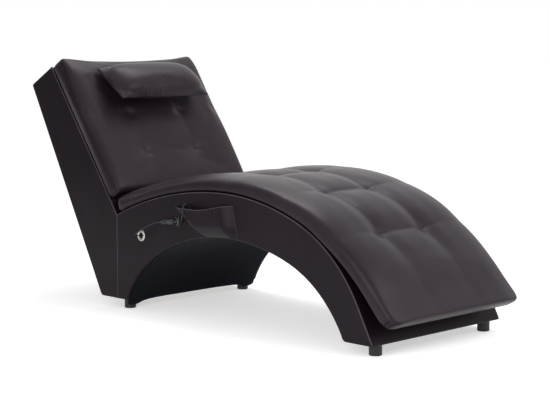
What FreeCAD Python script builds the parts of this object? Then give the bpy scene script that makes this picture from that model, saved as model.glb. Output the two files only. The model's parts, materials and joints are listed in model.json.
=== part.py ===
import FreeCAD, Part
import math
import os

Vector = FreeCAD.Vector

# Overall sizes, in millimetres and degrees
WIDTH = 540.0            # over the leather of the two side panels
FOOT_HEIGHT = 31.0       # floor to the underside of both carcasses
LEATHER = 2.0
SIDE_BOARD = 15.0
SEAM_BOARD = 15.0        # each of the two boards that are bolted together
DECK_BOARD = 4.0         # bent ply under the seat leather
DUST_CLOTH = 1.5
FIT_GAP = 0.3            # between pieces that only lie against each other

# Back carcass
BACK_REAR_HEIGHT = 664.0     # rear top edge above the floor
BACK_TOP_DEPTH = 118.0       # top face, front to rear
BACK_TOP_TILT = 60.2         # top face from the vertical
BACK_RECLINE = 35.5          # front face from the vertical
BACK_REAR_LEAN = 27.95       # rear face from the vertical
BACK_FRONT_BOARD = 9.0
BACK_REAR_BOARD = 3.0
RAIL_THICK = 20.0
RAIL_DEEP = 40.0

# Seat carcass, upper curve, reaches measured from the seam between the carcasses
SEAT_REAR_HEIGHT = 284.6
SEAT_PEAK_HEIGHT = 384.5
SEAT_PEAK_REACH = 462.0
CROWN_RADIUS = 770.0
CROWN_SWEEP = 22.0
KNEE_RADIUS = 440.0
FRONT_SLOPE = 62.0

# Seat carcass, arch below
ARCH_PEAK_HEIGHT = 260.0
ARCH_PEAK_REACH = 477.0
ARCH_FRONT_RADIUS = 685.0
ARCH_FRONT_SWEEP = 20.8
ARCH_TOE_RADIUS = 376.0
ARCH_REAR_RADIUS = 600.0
ARCH_REAR_SWEEP = 29.2
ARCH_HEEL_RADIUS = 336.0
RAIL_REACHES = (300.0, 500.0, 700.0, 860.0)
FOOT_RAIL_HEIGHT = 45.0
FOOT_RAIL_FRONT_DEPTH = 70.0

# Bolts between the carcasses and the way through for the leads
BOLT_DIAMETER = 8.0
BOLT_HEAD_DIAMETER = 18.0
BOLT_HEAD = 5.0
BOLT_HEIGHTS = (110.0, 235.0)
BOLT_SPREAD = 150.0
NUT = 8.0
BOLT_END = 3.0
BOLT_ROOM = 0.2
THREAD_ROOM = 0.05
PASSAGE_HEIGHT = 180.0
PASSAGE_DIAMETER = 40.0

# Feet
FOOT_DIAMETER = 35.0
FOOT_CHAMFER = 2.0
FOOT_SCREW = 5.0
FOOT_SCREW_HEAD = 12.0
FOOT_SCREW_HEAD_THICK = 4.0
FOOT_SCREW_GRIP = 25.0
FOOT_SOLE = 9.0              # plastic left above the screw head
FOOT_HEAD_ROOM = 0.5
REAR_FOOT_REACH = 19.5
REAR_FOOT_INSET = 34.0
FRONT_FOOT_SETBACK = 26.0
FRONT_FOOT_INSET = 41.0

# Seat cushion
SEAT_PAD_START = 5.0
SEAT_PAD_SHORT = 22.0        # leather left bare at the foot end of the deck
SEAT_PAD_GAP = 1.6
SEAT_PAD_EDGE = 38.0
SEAT_PAD_TUFT = 36.0
SEAT_PAD_PUFF = 6.0
SEAT_PAD_CREASE = 3.0
SEAT_PAD_CROWN = 5.0
SEAT_PAD_REAR_DROP = 9.0     # it thins towards the back
SEAT_PAD_REAR_RUN = 900.0
SEAT_PAD_LIFT = 46.0         # the foot end stands off the deck
SEAT_PAD_LIFT_RUN = 300.0
SEAT_PAD_LIFT_POWER = 1.6
SEAT_TUFT_ROWS = (283.0, 493.0, 703.0, 907.0)
TUFT_HALF_SPREAD = 90.0

# Back cushion
BACK_PAD_START = 5.0
BACK_PAD_LENGTH = 480.0
BACK_PAD_EDGE = 50.0
BACK_PAD_TOP_RISE = 2.0
BACK_PAD_TOP_RUN = 150.0
BACK_PAD_BELLY = 11.0        # fuller between its ends
BACK_PAD_BELLY_RUN = 80.0
BACK_PAD_TUFT = 43.0
BACK_PAD_PUFF = 10.0
BACK_PAD_CREASE = 4.0
BACK_PAD_CROWN = 8.0
BACK_TUFT_ROWS = (207.0, 348.0)

# Shape shared by both cushions
PAD_SIDE_SWELL = 9.0
PAD_DRAW_IN = 3.0            # sides drawn in halfway along
PAD_END_ROUND = 18.0
PAD_END_THIN = 0.8
CELL_STEPS = (-1.0, -0.62, 0.0, 0.62)
END_STEPS = (0.35, 1.0)       # shares of the rounded end

# Head pillow, places measured down the back face and off it
PILLOW_LENGTH = 368.0
PILLOW_SHIFT = 16.0          # it lies towards the left arm
PILLOW_TOP = 60.0
PILLOW_BOTTOM = 208.0
PILLOW_TOP_STANDOFF = 8.0
PILLOW_BOTTOM_STANDOFF = 32.0
PILLOW_SWELL = 62.0
PILLOW_DRAW_IN = 6.0
PILLOW_FLAT_TOP = 84.0
PILLOW_FLAT_BOTTOM = 150.0
PILLOW_END_RISE = 12.0
PILLOW_STATIONS = (-1.0, -0.93, -0.78, -0.5, 0.0, 0.5, 0.78, 0.93, 1.0)
PILLOW_END_FULLNESS = 0.3
PILLOW_END_POWER = 2.6
STRIP = 1.3
STRIP_WIDTH = 60.0
STRIP_TOP = 90.0
STRIP_BOTTOM = 134.0

# Massage motors
SEAT_MOTORS = (180.0, 598.0, 805.0)      # along the deck from the seam
BACK_MOTORS = (110.0, 278.0)             # down the back face
MOTOR_CUP_RADIUS = 30.0
MOTOR_CUP_HEIGHT = 24.0
MOTOR_WALL = 2.0
MOTOR_LID = 2.0
MOTOR_LID_LIP = 2.0
MOTOR_CAN_RADIUS = 10.0
MOTOR_CAN_LENGTH = 22.0
MOTOR_AXIS_HEIGHT = 13.0
MOTOR_SHAFT_RADIUS = 1.2
MOTOR_SHAFT_ROOM = 0.05
MOTOR_SHAFT_DEPTH = 15.0
MOTOR_WEIGHT_RADIUS = 9.0
MOTOR_WEIGHT_LENGTH = 10.0
MOTOR_WEIGHT_GAP = 4.0
MOTOR_SHAFT_TIP = 2.0
MOTOR_CAN_START = -4.0
MOTOR_RIB = 3.0
MOTOR_RIB_WIDTH = 30.0
MOTOR_RIB_STARTS = (0.0, 12.0)
MOTOR_POCKET_ROOM = 1.5
MOTOR_SEAT_GAP = 0.1

# Wiring
LEAD_RADIUS = 1.5
LEAD_HOLE_ROOM = 0.3
LEAD_HOLE_OFFSET = 21.0
LEAD_RISE = 6.0
LEAD_DEPTH_SEAT = 60.0
LEAD_DEPTH_BACK = 50.0
LEAD_STEP = 120.0
LEAD_APPROACH = 45.0
LEAD_LANES = (0.0, 16.0, -16.0, 9.0, -9.0, 0.0)
TERMINAL_TOP = 12.0
TERMINAL_PITCH = 9.0

# Control box under the first rail
BOX_DEPTH = 30.0
BOX_LENGTH = 100.0
BOX_HEIGHT = 66.0
BOX_WALL = 2.0
BOX_FROM_BOARD = 43.0
BOX_BOSS = 4.0
BOX_BOSS_RADIUS = 3.0
CIRCUIT_BOARD = 1.6
BOARD_MARGIN = 4.0

# Power inlet in the rear face
INLET_HEIGHT = 150.0
INLET_FLANGE_RADIUS = 9.0
INLET_FLANGE = 2.0
INLET_BODY_RADIUS = 5.9
INLET_BODY = 22.0
INLET_BORE_RADIUS = 2.8
INLET_BORE = 10.0
INLET_PIN_RADIUS = 1.0
INLET_HOLE_ROOM = 0.1

# Cord grommet in the right side panel
GROMMET_REACH = 113.0
GROMMET_HEIGHT = 232.0
GROMMET_RADIUS = 17.0
GROMMET_BORE = 9.0
GROMMET_WALL = 1.0
GROMMET_FLANGE = 2.2
GROMMET_ROOM = 0.1
GROMMET_WASHER_RADIUS = 15.0
GROMMET_WASHER = 1.5

# Cord of the handset, with the connector pair in it
CORD_RADIUS = 2.0
CONNECTOR_TILT = 6.6
CONNECTOR_TURN = 6.0         # swung off the side panel
CONNECTOR_REACH = 209.0
CONNECTOR_HEIGHT = 281.0
RELIEF = 18.0
RELIEF_THIN = 3.2
RELIEF_THICK = 5.0
PLUG_BODY = 26.0
PLUG_RADIUS = 7.5
PLUG_GROOVE = 1.0
PLUG_GROOVES = 3
SOCKET_RADIUS = 8.0
BEND_SHARE = 0.45            # of the shorter run beside a bend
PLUG_LEAD_IN = 22.0
SOCKET_LEAD_OUT = 17.5
GLAND_LEAD_IN = 13.0
HARNESS_ROUTE = (            # from the seam, the side panel and the floor
    (GROMMET_REACH, -GROMMET_FLANGE, GROMMET_HEIGHT),
    (GROMMET_REACH, -22.0, GROMMET_HEIGHT),
    (131.0, -31.0, 245.0),
    (156.0, -27.0, 261.0),
)
HANDSET_ROUTE = (
    (327.0, -30.0, 298.5),
    (340.0, -39.0, 309.0),
    (344.0, -39.5, 322.0),
    (343.5, -38.0, 347.0),
    (342.0, -8.0, 347.0),
    (341.0, -8.0, 320.0),
    (346.0, -8.0, 307.0),
)

# Pocket on the right side panel, reaches from the seam
POCKET_TOP_REACHES = (270.0, 508.0)
POCKET_TOP_HEIGHTS = (330.0, 352.0)
POCKET_BOTTOM_REACHES = (368.0, 528.0)
POCKET_ARCH_MARGIN = 5.0
POCKET_DEPTH = 24.0
POCKET_LIP_DEPTH = 23.0
POCKET_SIDE = 28.0
POCKET_WALL = 1.6
POCKET_FLOOR_LEVEL = 0.03
POCKET_OPEN_LEVEL = 1.1      # the hollow runs out past the lip
POCKET_LEVELS = ((0.0, 0.2), (0.12, 0.72), (0.28, 1.0), (0.6, 1.0))

# Handset in the pocket, length along the chair
HANDSET_LENGTH = 105.0
HANDSET_HEIGHT = 44.0
HANDSET_DEPTH = 16.0
HANDSET_SPLIT = 7.6
HANDSET_WALL = 1.6
HANDSET_CORNER = 9.0
HANDSET_SHIFT = 19.5         # from the middle of the pocket towards the foot end
HANDSET_BASE = 279.0
HANDSET_GAP = 0.4
GLAND = 14.0
GLAND_THIN = 3.0
GLAND_THICK = 4.2
BUTTON_PROUD = 1.2
BUTTON_FLANGE = 1.0
BUTTON_FLANGE_EDGE = 1.0
BUTTON_ROOM = 0.15
BUTTON_SEAT = 0.05
BUTTON_TRAVEL = 0.8
SWITCH_RADIUS = 2.5
SWITCH_CLEAR = 0.3
SWITCH_HEIGHT = 2.0
BUTTONS = {                  # along the handset, up it, radius
    "button_power": (20.0, 22.0, 5.5),
    "button_mode": (42.0, 22.0, 4.5),
    "button_softer": (63.0, 13.0, 4.0),
    "button_stronger": (63.0, 31.0, 4.0),
    "button_zone": (84.0, 22.0, 4.5),
}


def lean(tilt):
    """Unit vector in the side plane, tilted forward from the vertical."""
    return Vector(math.sin(math.radians(tilt)), 0, math.cos(math.radians(tilt)))


def meet(p, d, q, e):
    """Crossing of two lines in the side plane."""
    share = ((q.x - p.x) * e.z - (q.z - p.z) * e.x) / (d.x * e.z - d.z * e.x)
    return p + d * share


def arc_edge(centre, radius, tilt_from, tilt_to):
    tilts = (tilt_from, (tilt_from + tilt_to) / 2, tilt_to)
    return Part.Arc(*[centre + lean(tilt) * radius for tilt in tilts]).toShape()


def slab(edges, y_from, y_to):
    """A flat outline in the side plane, thickened across the chair."""
    face = Part.Face(Part.Wire(Part.sortEdges(edges)[0]))
    face.translate(Vector(0, y_from, 0))
    return face.extrude(Vector(0, y_to - y_from, 0))


def polygon_slab(points, y_from, y_to):
    edges = [Part.makeLine(a, b) for a, b in zip(points, points[1:] + points[:1])]
    return slab(edges, y_from, y_to)


def box(x, y, z):
    """A box between pairs of limits."""
    return Part.makeBox(x[1] - x[0], y[1] - y[0], z[1] - z[0], Vector(x[0], y[0], z[0]))


def rod(start, axis, length, radius):
    return Part.makeCylinder(radius, length, start, axis)


def ring(start, axis, length, outer, inner):
    return rod(start, axis, length, outer).cut(rod(start, axis, length, inner))


def cut_all(shape, tools):
    for tool in tools:
        shape = shape.cut(tool)
    return shape


def tube(points, radius, name=None):
    """A round tube on straight runs joined by the largest tangent arcs that fit."""
    edges = []
    radii = []
    last = points[0]
    for before, here, after in zip(points, points[1:], points[2:]):
        back = before - here
        ahead = after - here
        cut = BEND_SHARE * min(back.Length, ahead.Length)
        back.normalize()
        ahead.normalize()
        half_turn = (math.pi - back.getAngle(ahead)) / 2
        bend = cut / math.tan(half_turn)
        inward = (back + ahead).normalize()
        middle = here + inward * (bend / math.cos(half_turn) - bend)
        edges.append(Part.makeLine(last, here + back * cut))
        edges.append(Part.Arc(here + back * cut, middle, here + ahead * cut).toShape())
        last = here + ahead * cut
        radii.append(bend)
    edges.append(Part.makeLine(last, points[-1]))
    path = Part.Wire(edges)
    profile = Part.Wire(Part.makeCircle(radius, points[0], points[1] - points[0]))
    solid = path.makePipeShell([profile], True, False)
    if name:
        share = solid.Volume / (math.pi * radius ** 2 * path.Length)
        print(name, "bend radii", [round(bend, 1) for bend in radii],
              "length", round(path.Length, 1), "volume share", round(share, 4))
    return solid


# Corners of the back carcass in the side plane
REAR_TOP = Vector(0, 0, BACK_REAR_HEIGHT)
TOP_ALONG = lean(BACK_TOP_TILT)
TOP_IN = Vector(TOP_ALONG.z, 0, -TOP_ALONG.x)
FACE_DOWN = Vector(math.sin(math.radians(BACK_RECLINE)), 0, -math.cos(math.radians(BACK_RECLINE)))
FACE_TILT = 90 - BACK_RECLINE
REAR_DOWN = Vector(math.sin(math.radians(BACK_REAR_LEAN)), 0, -math.cos(math.radians(BACK_REAR_LEAN)))
REAR_OUT = Vector(REAR_DOWN.z, 0, -REAR_DOWN.x)
FRONT_TOP = REAR_TOP + TOP_ALONG * BACK_TOP_DEPTH
SEAM_X = FRONT_TOP.x + (FRONT_TOP.z - SEAT_REAR_HEIGHT) * math.tan(math.radians(BACK_RECLINE))

# Centres of the seat's upper curve and of the arch
SEAT_RISE = SEAT_PEAK_HEIGHT - SEAT_REAR_HEIGHT
REAR_RADIUS = (SEAT_PEAK_REACH ** 2 + SEAT_RISE ** 2) / (2 * SEAT_RISE)
SEAT_PEAK = Vector(SEAM_X + SEAT_PEAK_REACH, 0, SEAT_PEAK_HEIGHT)
REAR_CENTRE = SEAT_PEAK - lean(0) * REAR_RADIUS
CROWN_CENTRE = SEAT_PEAK - lean(0) * CROWN_RADIUS
KNEE_CENTRE = CROWN_CENTRE + lean(CROWN_SWEEP) * (CROWN_RADIUS - KNEE_RADIUS)
ARCH_PEAK = Vector(SEAM_X + ARCH_PEAK_REACH, 0, ARCH_PEAK_HEIGHT)
ARCH_FRONT_CENTRE = ARCH_PEAK - lean(0) * ARCH_FRONT_RADIUS
ARCH_TOE_CENTRE = ARCH_FRONT_CENTRE + lean(ARCH_FRONT_SWEEP) * (ARCH_FRONT_RADIUS - ARCH_TOE_RADIUS)
ARCH_REAR_CENTRE = ARCH_PEAK - lean(0) * ARCH_REAR_RADIUS
ARCH_HEEL_CENTRE = ARCH_REAR_CENTRE + lean(-ARCH_REAR_SWEEP) * (ARCH_REAR_RADIUS - ARCH_HEEL_RADIUS)

# Planes across the chair
SKIN_Y = WIDTH / 2
BOARD_OUTER_Y = SKIN_Y - LEATHER
BOARD_INNER_Y = BOARD_OUTER_Y - SIDE_BOARD
OUTWARD = Vector(0, -1, 0)
DECK_UNDER = LEATHER + DECK_BOARD

# Lengths along the seat's upper curve
REAR_TILT = -math.degrees(math.asin(SEAT_PEAK_REACH / REAR_RADIUS))
REAR_RUN = REAR_RADIUS * math.radians(-REAR_TILT)
CROWN_RUN = CROWN_RADIUS * math.radians(CROWN_SWEEP)
KNEE_RUN = KNEE_RADIUS * math.radians(FRONT_SLOPE - CROWN_SWEEP)
KNEE_END = KNEE_CENTRE + lean(FRONT_SLOPE) * KNEE_RADIUS
FRONT_ALONG = lean(FRONT_SLOPE + 90)
FRONT_RUN = (KNEE_END.z - FOOT_HEIGHT) / math.sin(math.radians(FRONT_SLOPE))
SEAT_RUN = REAR_RUN + CROWN_RUN + KNEE_RUN + FRONT_RUN


def seat_place(along):
    """Point on the seat's upper curve and the tilt of its normal."""
    if along <= REAR_RUN:
        tilt = REAR_TILT + math.degrees(along / REAR_RADIUS)
        return REAR_CENTRE + lean(tilt) * REAR_RADIUS, tilt
    along -= REAR_RUN
    if along <= CROWN_RUN:
        tilt = math.degrees(along / CROWN_RADIUS)
        return CROWN_CENTRE + lean(tilt) * CROWN_RADIUS, tilt
    along -= CROWN_RUN
    if along <= KNEE_RUN:
        tilt = CROWN_SWEEP + math.degrees(along / KNEE_RADIUS)
        return KNEE_CENTRE + lean(tilt) * KNEE_RADIUS, tilt
    return KNEE_END + FRONT_ALONG * (along - KNEE_RUN), FRONT_SLOPE


def back_place(down):
    """Point on the back's front face and the tilt of its normal."""
    return FRONT_TOP + FACE_DOWN * down, FACE_TILT


def top_edges(inset):
    """The seat's upper curve from the seam to the foot end, inset into the carcass."""
    rear = REAR_RADIUS - inset
    start = -math.degrees(math.asin(SEAT_PEAK_REACH / rear))
    knee = KNEE_CENTRE + lean(FRONT_SLOPE) * (KNEE_RADIUS - inset)
    toe = knee + FRONT_ALONG * ((knee.z - FOOT_HEIGHT) / math.sin(math.radians(FRONT_SLOPE)))
    edges = [
        arc_edge(REAR_CENTRE, rear, start, 0),
        arc_edge(CROWN_CENTRE, CROWN_RADIUS - inset, 0, CROWN_SWEEP),
        arc_edge(KNEE_CENTRE, KNEE_RADIUS - inset, CROWN_SWEEP, FRONT_SLOPE),
        Part.makeLine(knee, toe),
    ]
    return REAR_CENTRE + lean(start) * rear, edges, toe


def arch_edges(inset):
    """The arch from its toe to its heel, inset into the carcass."""
    toe_radius = ARCH_TOE_RADIUS + inset
    heel_radius = ARCH_HEEL_RADIUS + inset
    toe_tilt = math.degrees(math.acos((FOOT_HEIGHT - ARCH_TOE_CENTRE.z) / toe_radius))
    heel_tilt = -math.degrees(math.acos((FOOT_HEIGHT - ARCH_HEEL_CENTRE.z) / heel_radius))
    edges = [
        arc_edge(ARCH_TOE_CENTRE, toe_radius, toe_tilt, ARCH_FRONT_SWEEP),
        arc_edge(ARCH_FRONT_CENTRE, ARCH_FRONT_RADIUS + inset, ARCH_FRONT_SWEEP, 0),
        arc_edge(ARCH_REAR_CENTRE, ARCH_REAR_RADIUS + inset, 0, -ARCH_REAR_SWEEP),
        arc_edge(ARCH_HEEL_CENTRE, heel_radius, -ARCH_REAR_SWEEP, heel_tilt),
    ]
    toe = ARCH_TOE_CENTRE + lean(toe_tilt) * toe_radius
    return toe, edges, ARCH_HEEL_CENTRE + lean(heel_tilt) * heel_radius


def arch_height(x):
    """Height of the arch's edge near its peak."""
    centre = ARCH_FRONT_CENTRE if x > ARCH_PEAK.x else ARCH_REAR_CENTRE
    radius = ARCH_PEAK.z - centre.z
    return centre.z + math.sqrt(radius ** 2 - (x - centre.x) ** 2)


def deck_under_height(x):
    """Height of the underside of the deck behind the peak."""
    radius = REAR_RADIUS - DECK_UNDER
    return REAR_CENTRE.z + math.sqrt(radius ** 2 - (x - REAR_CENTRE.x) ** 2)


def seat_outline(top_inset, arch_inset, y_from, y_to):
    """The seat carcass seen from the side, as a slab."""
    seam_top, upper, front = top_edges(top_inset)
    toe, lower, heel = arch_edges(arch_inset)
    seam_bottom = Vector(SEAM_X, 0, FOOT_HEIGHT)
    closing = [
        Part.makeLine(front, toe),
        Part.makeLine(heel, seam_bottom),
        Part.makeLine(seam_bottom, seam_top),
    ]
    return slab(upper + lower + closing, y_from, y_to)


def seat_band(outer, inner, half):
    """A sheet that follows the seat's upper curve."""
    outer_start, outer_edges, outer_end = top_edges(outer)
    inner_start, inner_edges, inner_end = top_edges(inner)
    closing = [Part.makeLine(outer_end, inner_end), Part.makeLine(inner_start, outer_start)]
    return slab(outer_edges + inner_edges + closing, -half, half)


def arch_band(thickness, half):
    """A sheet that lines the arch."""
    outer_start, outer_edges, outer_end = arch_edges(0)
    inner_start, inner_edges, inner_end = arch_edges(thickness)
    closing = [Part.makeLine(outer_end, inner_end), Part.makeLine(inner_start, outer_start)]
    return slab(outer_edges + inner_edges + closing, -half, half)


def back_outline(front, top, rear, bottom, seam, y_from, y_to):
    """The back carcass seen from the side, each side inset by its own amount."""
    rear_line = REAR_TOP - REAR_OUT * rear
    top_line = REAR_TOP + TOP_IN * top
    front_line = FRONT_TOP - lean(FACE_TILT) * front
    seam_line = Vector(SEAM_X - seam, 0, 0)
    bottom_line = Vector(0, 0, FOOT_HEIGHT + bottom)
    points = [
        meet(rear_line, REAR_DOWN, top_line, TOP_ALONG),
        meet(top_line, TOP_ALONG, front_line, FACE_DOWN),
        meet(front_line, FACE_DOWN, seam_line, lean(0)),
        meet(seam_line, lean(0), bottom_line, lean(90)),
        meet(bottom_line, lean(90), rear_line, REAR_DOWN),
    ]
    return polygon_slab(points, y_from, y_to)


def side_range(side, inner, outer):
    """Limits across the chair on the right, -1, or the left, +1."""
    return (-outer, -inner) if side < 0 else (inner, outer)


SIDES = {"right": -1, "left": 1}
FREE_CORD = ("harness_cord", "cord_plug", "cord_socket", "handset_cord")
parts = {}

# Way through the two seam boards, and the bolts that hold them together
PASSAGE = rod(Vector(SEAM_X - 2 * SEAM_BOARD, 0, PASSAGE_HEIGHT), Vector(1, 0, 0),
              4 * SEAM_BOARD, PASSAGE_DIAMETER / 2)
BOLT_PLACES = [(y, z) for y in (-BOLT_SPREAD, BOLT_SPREAD) for z in BOLT_HEIGHTS]
BOLT_HOLES = [rod(Vector(SEAM_X - 2 * SEAM_BOARD, y, z), Vector(1, 0, 0), 4 * SEAM_BOARD,
                  BOLT_DIAMETER / 2 + BOLT_ROOM) for y, z in BOLT_PLACES]


def back_carcass():
    skin = (LEATHER,) * 4
    for name, side in SIDES.items():
        parts["back_cover_" + name] = back_outline(*skin, 0, *side_range(side, BOARD_OUTER_Y, SKIN_Y))
        board = back_outline(*skin, 0, *side_range(side, BOARD_INNER_Y, BOARD_OUTER_Y))
        parts["back_side_board_" + name] = board
    wrap = back_outline(0, 0, 0, 0, 0, -SKIN_Y, SKIN_Y)
    inside = back_outline(*skin, -LEATHER, -SKIN_Y, SKIN_Y)
    inlet_hole = rod(inlet_point() - REAR_OUT * RAIL_DEEP, REAR_OUT, 2 * RAIL_DEEP,
                     INLET_BODY_RADIUS + INLET_HOLE_ROOM)
    lead_holes = [lead_hole(back_place(down), lane)
                  for down, lane in zip(BACK_MOTORS, LEAD_LANES[len(SEAT_MOTORS):])]
    parts["back_cover_wrap"] = cut_all(wrap.cut(inside), lead_holes + [inlet_hole])
    limits = (-BOARD_INNER_Y, BOARD_INNER_Y)
    hollow = back_outline(*skin, 0, *limits)
    behind_front = back_outline(LEATHER + BACK_FRONT_BOARD, *skin[1:], 0, *limits)
    parts["back_front_board"] = cut_all(hollow.cut(behind_front), lead_holes)
    core = back_outline(LEATHER + BACK_FRONT_BOARD, LEATHER, LEATHER + BACK_REAR_BOARD, LEATHER, 0, *limits)
    parts["back_rear_board"] = behind_front.cut(core).cut(inlet_hole)
    before_seam = back_outline(LEATHER + BACK_FRONT_BOARD, LEATHER, LEATHER + BACK_REAR_BOARD,
                               LEATHER, SEAM_BOARD, *limits)
    parts["back_seam_board"] = cut_all(core.cut(before_seam), BOLT_HOLES + [PASSAGE])
    below_top = back_outline(LEATHER + BACK_FRONT_BOARD, LEATHER + RAIL_THICK, LEATHER + BACK_REAR_BOARD,
                             LEATHER, SEAM_BOARD, *limits)
    above_bottom = back_outline(LEATHER + BACK_FRONT_BOARD, LEATHER, LEATHER + BACK_REAR_BOARD,
                                LEATHER + RAIL_THICK, SEAM_BOARD, *limits)
    parts["back_rails"] = Part.makeCompound([before_seam.cut(below_top), before_seam.cut(above_bottom)])


def foot_places():
    front_end = top_edges(0)[2].x - FRONT_FOOT_SETBACK
    rear = [("rear_foot_" + name, SEAM_X + REAR_FOOT_REACH, side * (SKIN_Y - REAR_FOOT_INSET))
            for name, side in SIDES.items()]
    front = [("front_foot_" + name, front_end, side * (SKIN_Y - FRONT_FOOT_INSET))
             for name, side in SIDES.items()]
    return rear + front


def seat_carcass():
    grommet_hole = rod(Vector(grommet_x(), 0, GROMMET_HEIGHT), OUTWARD, WIDTH,
                       GROMMET_BORE + GROMMET_WALL + GROMMET_ROOM)
    for name, side in SIDES.items():
        cover = seat_outline(LEATHER, 0, *side_range(side, BOARD_OUTER_Y, SKIN_Y))
        board = seat_outline(DECK_UNDER, DUST_CLOTH, *side_range(side, BOARD_INNER_Y, BOARD_OUTER_Y))
        parts["seat_cover_" + name] = cover.cut(grommet_hole)
        parts["seat_side_board_" + name] = board.cut(grommet_hole)
    lead_holes = [lead_hole(seat_place(along), lane) for along, lane in zip(SEAT_MOTORS, LEAD_LANES)]
    parts["seat_cover_top"] = cut_all(seat_band(0, LEATHER, SKIN_Y), lead_holes)
    parts["seat_deck"] = cut_all(seat_band(LEATHER, DECK_UNDER, BOARD_OUTER_Y), lead_holes)
    parts["dust_cover"] = arch_band(DUST_CLOTH, BOARD_OUTER_Y)
    limits = (-BOARD_INNER_Y, BOARD_INNER_Y)
    hollow = seat_outline(DECK_UNDER, DUST_CLOTH, *limits)
    rail_top = FOOT_HEIGHT + FOOT_RAIL_HEIGHT
    seam_board = box((SEAM_X, SEAM_X + SEAM_BOARD), limits, (rail_top, SEAT_PEAK_HEIGHT)).common(hollow)
    parts["seat_seam_board"] = cut_all(seam_board, BOLT_HOLES + [PASSAGE])
    pilot_holes = [rod(Vector(x, y, FOOT_HEIGHT), lean(0), FOOT_SCREW_GRIP, FOOT_SCREW / 2 + THREAD_ROOM)
                   for name, x, y in foot_places()]
    heel = arch_edges(DUST_CLOTH)[2].x
    toe = top_edges(DECK_UNDER)[2].x
    rear_rail = box((SEAM_X, heel), limits, (FOOT_HEIGHT, rail_top)).common(hollow)
    front_rail = box((toe - FOOT_RAIL_FRONT_DEPTH, toe), limits, (FOOT_HEIGHT, rail_top)).common(hollow)
    rails = [cut_all(rail, pilot_holes) for rail in (rear_rail, front_rail)]
    first = grommet_x()
    for x in (first, *[SEAM_X + reach for reach in RAIL_REACHES]):
        column = box((x - RAIL_THICK / 2, x + RAIL_THICK / 2), limits, (FOOT_HEIGHT, SEAT_PEAK_HEIGHT))
        below = hollow.copy()
        below.translate(lean(0) * -RAIL_DEEP)
        rails.append(column.common(hollow).cut(below))
    flat = box((first - RAIL_THICK, first + RAIL_THICK), limits, (FOOT_HEIGHT, box_top()))
    rails[2] = rails[2].cut(flat)
    parts["seat_rails"] = Part.makeCompound(rails)


def fasteners():
    bolts = []
    nuts = []
    ahead = Vector(1, 0, 0)
    for y, z in BOLT_PLACES:
        end = Vector(SEAM_X - SEAM_BOARD - NUT - BOLT_END, y, z)
        face = Vector(SEAM_X + SEAM_BOARD, y, z)
        shank = rod(end, ahead, face.x - end.x, BOLT_DIAMETER / 2)
        bolts.append(shank.fuse(rod(face, ahead, BOLT_HEAD, BOLT_HEAD_DIAMETER / 2)).removeSplitter())
        nuts.append(ring(Vector(SEAM_X - SEAM_BOARD - NUT, y, z), ahead, NUT, BOLT_HEAD_DIAMETER / 2,
                         BOLT_DIAMETER / 2 + THREAD_ROOM))
    parts["joining_bolts"] = Part.makeCompound(bolts)
    parts["joining_nuts"] = Part.makeCompound(nuts)


def feet():
    screws = []
    radius = FOOT_DIAMETER / 2
    head_top = FOOT_HEIGHT - FOOT_SOLE
    for name, x, y in foot_places():
        floor = Vector(x, y, 0)
        foot = Part.makeCone(radius - FOOT_CHAMFER, radius, FOOT_CHAMFER, floor)
        foot = foot.fuse(rod(floor + lean(0) * FOOT_CHAMFER, lean(0), FOOT_HEIGHT - FOOT_CHAMFER, radius))
        foot = foot.cut(rod(floor, lean(0), FOOT_HEIGHT, FOOT_SCREW / 2 + THREAD_ROOM))
        foot = foot.cut(rod(floor, lean(0), head_top, FOOT_SCREW_HEAD / 2 + FOOT_HEAD_ROOM))
        parts[name] = foot.removeSplitter()
        shank = rod(floor + lean(0) * head_top, lean(0), FOOT_SOLE + FOOT_SCREW_GRIP, FOOT_SCREW / 2)
        under = floor + lean(0) * (head_top - FOOT_SCREW_HEAD_THICK)
        head = rod(under, lean(0), FOOT_SCREW_HEAD_THICK, FOOT_SCREW_HEAD / 2)
        screws.append(shank.fuse(head).removeSplitter())
    parts["foot_screws"] = Part.makeCompound(screws)


def pad_section(place, half, base, edge, valley, outer_crown, crown):
    """One cross-section of a cushion: flat below, swollen sides, three lobes above."""
    origin, tilt = place
    low = half - PAD_SIDE_SWELL

    def at(y, height):
        return origin + lean(tilt) * height + Vector(0, y, 0)

    def arc(a, b, c):
        return Part.Arc(at(*a), at(*b), at(*c)).toShape()

    outer = (low + TUFT_HALF_SPREAD) / 2
    middle = (base + edge) / 2
    return Part.Wire([
        Part.makeLine(at(-low, base), at(low, base)),
        arc((low, base), (half, middle), (low, edge)),
        arc((low, edge), (outer, outer_crown), (TUFT_HALF_SPREAD, valley)),
        arc((TUFT_HALF_SPREAD, valley), (0, crown), (-TUFT_HALF_SPREAD, valley)),
        arc((-TUFT_HALF_SPREAD, valley), (-outer, outer_crown), (-low, edge)),
        arc((-low, edge), (-half, middle), (-low, base)),
    ])


def pad_stations(start, rows, end):
    """Places along a cushion, each with how full its cell is there."""
    stations = []
    bounds = (start, *rows, end)
    for near, far in zip(bounds, bounds[1:]):
        for step in CELL_STEPS:
            stations.append((near + (far - near) * (step + 1) / 2, math.sqrt(1 - step ** 2)))
    stations.append((end, 0.0))
    first_cell = (rows[0] - start) / 2
    last_cell = (end - rows[-1]) / 2
    for share in END_STEPS:
        inset = PAD_END_ROUND * share
        stations.append((start + inset, math.sqrt(1 - (1 - inset / first_cell) ** 2)))
        stations.append((end - inset, math.sqrt(1 - (1 - inset / last_cell) ** 2)))
    return sorted(stations)


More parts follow.
